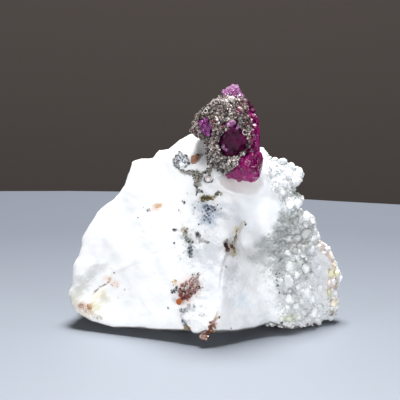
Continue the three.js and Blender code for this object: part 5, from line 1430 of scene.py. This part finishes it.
# the pale grain at 186.2, 288.6 is a painted glint
for u, v, s, c in ((184.6, 298, 1.9, (0.26, 0.025, 0.015)), (188, 296, 2.0, (0.24, 0.03, 0.02)), (181.4, 293.5, 1.8, (0.34, 0.09, 0.06)), (190.6, 291.8, 1.7, (0.3, 0.1, 0.07)),
                   (186.2, 288.6, 1.5, (0.8, 0.7, 0.66)), (195.8, 286.2, 1.8, (0.74, 0.56, 0.44)), (191, 284, 1.6, (0.5, 0.28, 0.22)), (184.6, 284.6, 1.5, (0.44, 0.26, 0.24))):
    speck(u, v, s, s * 1.15, c, deep=s, sink=-0.7, where=gems)
o = cluster("brown_cluster", gems, 3, "block")
put(o, GEM)
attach(o, "root")
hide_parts("brown_mica_cluster")

# the foot
gems = []
speck(187, 328, 3.0, 2.6, (0.42, 0.3, 0.2), deep=2.2, where=gems)
speck(184.8, 325.5, 1.4, 2.2, (0.3, 0.24, 0.2), deep=1.4, where=gems)
o = cluster("foot_left", gems, 4, "block")
put(o, GEM)
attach(o, "root")
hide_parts("brown_grain_foot_left")
gems = []
for u, v, a, b, c, e in (
    (211.6, 329, 2.6, 3.0, (0.34, 0.15, 0.08), -0.2), (213.6, 325.6, 2.0, 2.2, (0.36, 0.19, 0.14), -0.3), (214.4, 321.4, 1.8, 2.2, (0.55, 0.38, 0.33), -0.2),
    (215.8, 323.4, 1.1, 1.3, (0.8, 0.66, 0.62), -0.5), (211.4, 324.6, 1.2, 1.2, (0.72, 0.56, 0.5), -0.5), (213.6, 330.6, 1.4, 1.2, (0.5, 0.34, 0.26), -0.5),
    (209.2, 329.8, 1.4, 1.4, (0.3, 0.16, 0.1), -0.3), (215.2, 327.4, 1.2, 1.6, (0.42, 0.24, 0.17), -0.2), (212.6, 320.8, 0.9, 1.2, (0.4, 0.24, 0.2), -0.4),
    (209.4, 326.6, 1.6, 2.4, (0.26, 0.1, 0.08), 0.0), (212.4, 332, 2.2, 1.8, (0.28, 0.1, 0.04), 0.0), (216, 318.4, 1.6, 1.8, (0.66, 0.52, 0.42), 0.0), (210.6, 322.4, 1.4, 1.8, (0.4, 0.18, 0.16), 0.0),
):
    speck(u, v, a, b, c, deep=min(a, b), sink=e, where=gems)
o = cluster("foot_right", gems, 4, "block")
put(o, GEM)
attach(o, "root")
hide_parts("brown_grain_foot_right")
gems = []
centre = seen(204.4, 336.8, -16.2)
for i in range(26):
    q = rng.normal(size=3)
    q = q / np.linalg.norm(q) * np.array([1.35, 0.75, 0.66]) * rng.uniform(0.2, 0.66)
    r = rng.uniform(0.35, 0.62)
    tone = [(0.42, 0.25, 0.2), (0.3, 0.15, 0.11), (0.55, 0.4, 0.34), (0.16, 0.08, 0.06)][int(rng.integers(4))]
    axes = np.diag([r, r * rng.uniform(0.7, 1.1), r * rng.uniform(0.7, 1.0)])
    c = centre + q
    c[2] = max(c[2], r + 0.08)
    gems.append((c, axes, int(rng.integers(1, 10**6)), np.array(tone)))
for i in range(5):
    r = 0.6
    gems.append((seen(205.5, 333 - i * 0.8, -15.8 + 0.5 * i), np.diag([1.1, 0.8, 0.6]), 70 + i, np.array([0.2, 0.1, 0.08])))
o = cluster("foot_knob", gems, 4, "block")
put(o, GEM)
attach(o, "root")
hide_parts("brown_knob_foot")

# ------------------------------------------------------------------ stage
def plane(name, sx, sy, at, turn=(0, 0, 0)):
    mesh = bpy.data.meshes.new(name)
    mesh.from_pydata([(-sx, -sy, 0), (sx, -sy, 0), (sx, sy, 0), (-sx, sy, 0)], [], [(0, 1, 2, 3)])
    q = bpy.data.objects.new(name, mesh)
    q.location = at
    q.rotation_euler = turn
    bpy.context.scene.collection.objects.link(q)
    return q


def ground(u, v):
    d = sight(u, v)
    p = EYE + d * (-EYE[2] / d[2])
    return p + SHIFT


# the table: its far edge as in the drawing, its near edge behind the camera
far = [(-1400, 192.5), (-700, 192.5), (-160, 192.5), (-80, 191.8), (0, 191.2), (70, 191), (140, 191.8), (210, 194), (280, 197.8), (340, 201.4), (400, 204.6), (480, 208), (560, 211), (1100, 213), (1800, 214)]
rows, cols = 60, len(far)
edge = np.array([ground(u, v) for u, v in far])
grid = []
for j in range(rows):
    k = (j / (rows - 1)) ** 1.4
    q = edge.copy()
    q[:, 1] = edge[:, 1] * (1 - k) + (-560.0) * k
    q[:, 0] = edge[:, 0] * (1 + 1.5 * k)
    q[:, 2] = 0
    grid.append(q)
grid = np.array(grid).reshape(-1, 3) - SHIFT
quads = []
for j in range(rows - 1):
    for i in range(cols - 1):
        a0, a1, a2, a3 = j * cols + i, j * cols + i + 1, (j + 1) * cols + i + 1, (j + 1) * cols + i
        quads += [(a0, a3, a2), (a0, a2, a1)]
floor = make("floor", grid, np.array(quads))
# painted light: the floor's colour is a round pool, brighter in front of the rock and darker towards the back and sides
m, nt, b = material("floor")
where = nt.nodes.new("ShaderNodeTexCoord")
place = nt.nodes.new("ShaderNodeMapping")
place.inputs["Location"].default_value = (0.0, 0.62, 0.0)
place.inputs["Scale"].default_value = (4.6, 4.4, 1.0)
nt.links.new(where.outputs["Object"], place.inputs["Vector"])
light_pool = nt.nodes.new("ShaderNodeTexGradient")
light_pool.gradient_type = "SPHERICAL"
nt.links.new(place.outputs["Vector"], light_pool.inputs["Vector"])
ramp = nt.nodes.new("ShaderNodeValToRGB")
ramp.color_ramp.elements[0].position = 0.0
ramp.color_ramp.elements[0].color = (0.174, 0.193, 0.231, 1)
ramp.color_ramp.elements[1].position = 1.0
ramp.color_ramp.elements[1].color = (0.4, 0.44, 0.497, 1)
nt.links.new(light_pool.outputs["Fac"], ramp.inputs["Fac"])
nt.links.new(ramp.outputs["Color"], b.inputs["Base Color"])
b.inputs["Roughness"].default_value = 0.6
put(floor, m)
wall = plane("backdrop", 3.0, 2.0, (0.0, 0.9, 0.0), (math.radians(90), 0, 0))
m, nt, b = material("backdrop")
b.inputs["Base Color"].default_value = (0.285, 0.24, 0.222, 1)
b.inputs["Roughness"].default_value = 1.0
put(wall, m)

scene = bpy.context.scene
world = bpy.data.worlds.new("studio")
scene.world = world
world.use_nodes = True
world.node_tree.nodes["Background"].inputs["Color"].default_value = (1.0, 0.96, 0.92, 1)
world.node_tree.nodes["Background"].inputs["Strength"].default_value = 0.025


def lamp(name, at, to, size, power, colour=(1, 1, 1)):
    data = bpy.data.lights.new(name, "AREA")
    data.shape = "DISK"
    data.size = size
    data.energy = power
    data.color = colour
    q = bpy.data.objects.new(name, data)
    q.location = at
    q.rotation_euler = (Vector(to) - Vector(at)).to_track_quat("-Z", "Y").to_euler()
    scene.collection.objects.link(q)
    return q


lamp("key", (-0.32, -0.34, 0.08), (0, 0, 0.02), 0.12, 0.9)
lamp("front", (0.2, -0.46, 0.07), (0, 0, 0.02), 0.17, 1.42, (0.98, 0.99, 1.0))
lamp("top", (0.02, 0.07, 0.45), (0, 0, 0.02), 0.22, 4.25)

scene.view_settings.view_transform = "Standard"

cam = bpy.data.cameras.new("camera")
cam.sensor_width = 36
cam.lens = 36 * AWAY / (400 * UNIT)
cam.clip_start = 0.01
cam.clip_end = 20
camera = bpy.data.objects.new("camera", cam)
camera.location = Vector((EYE + SHIFT) * 0.001)
camera.rotation_euler = Vector(INTO).to_track_quat("-Z", "Y").to_euler()
scene.collection.objects.link(camera)
scene.camera = camera
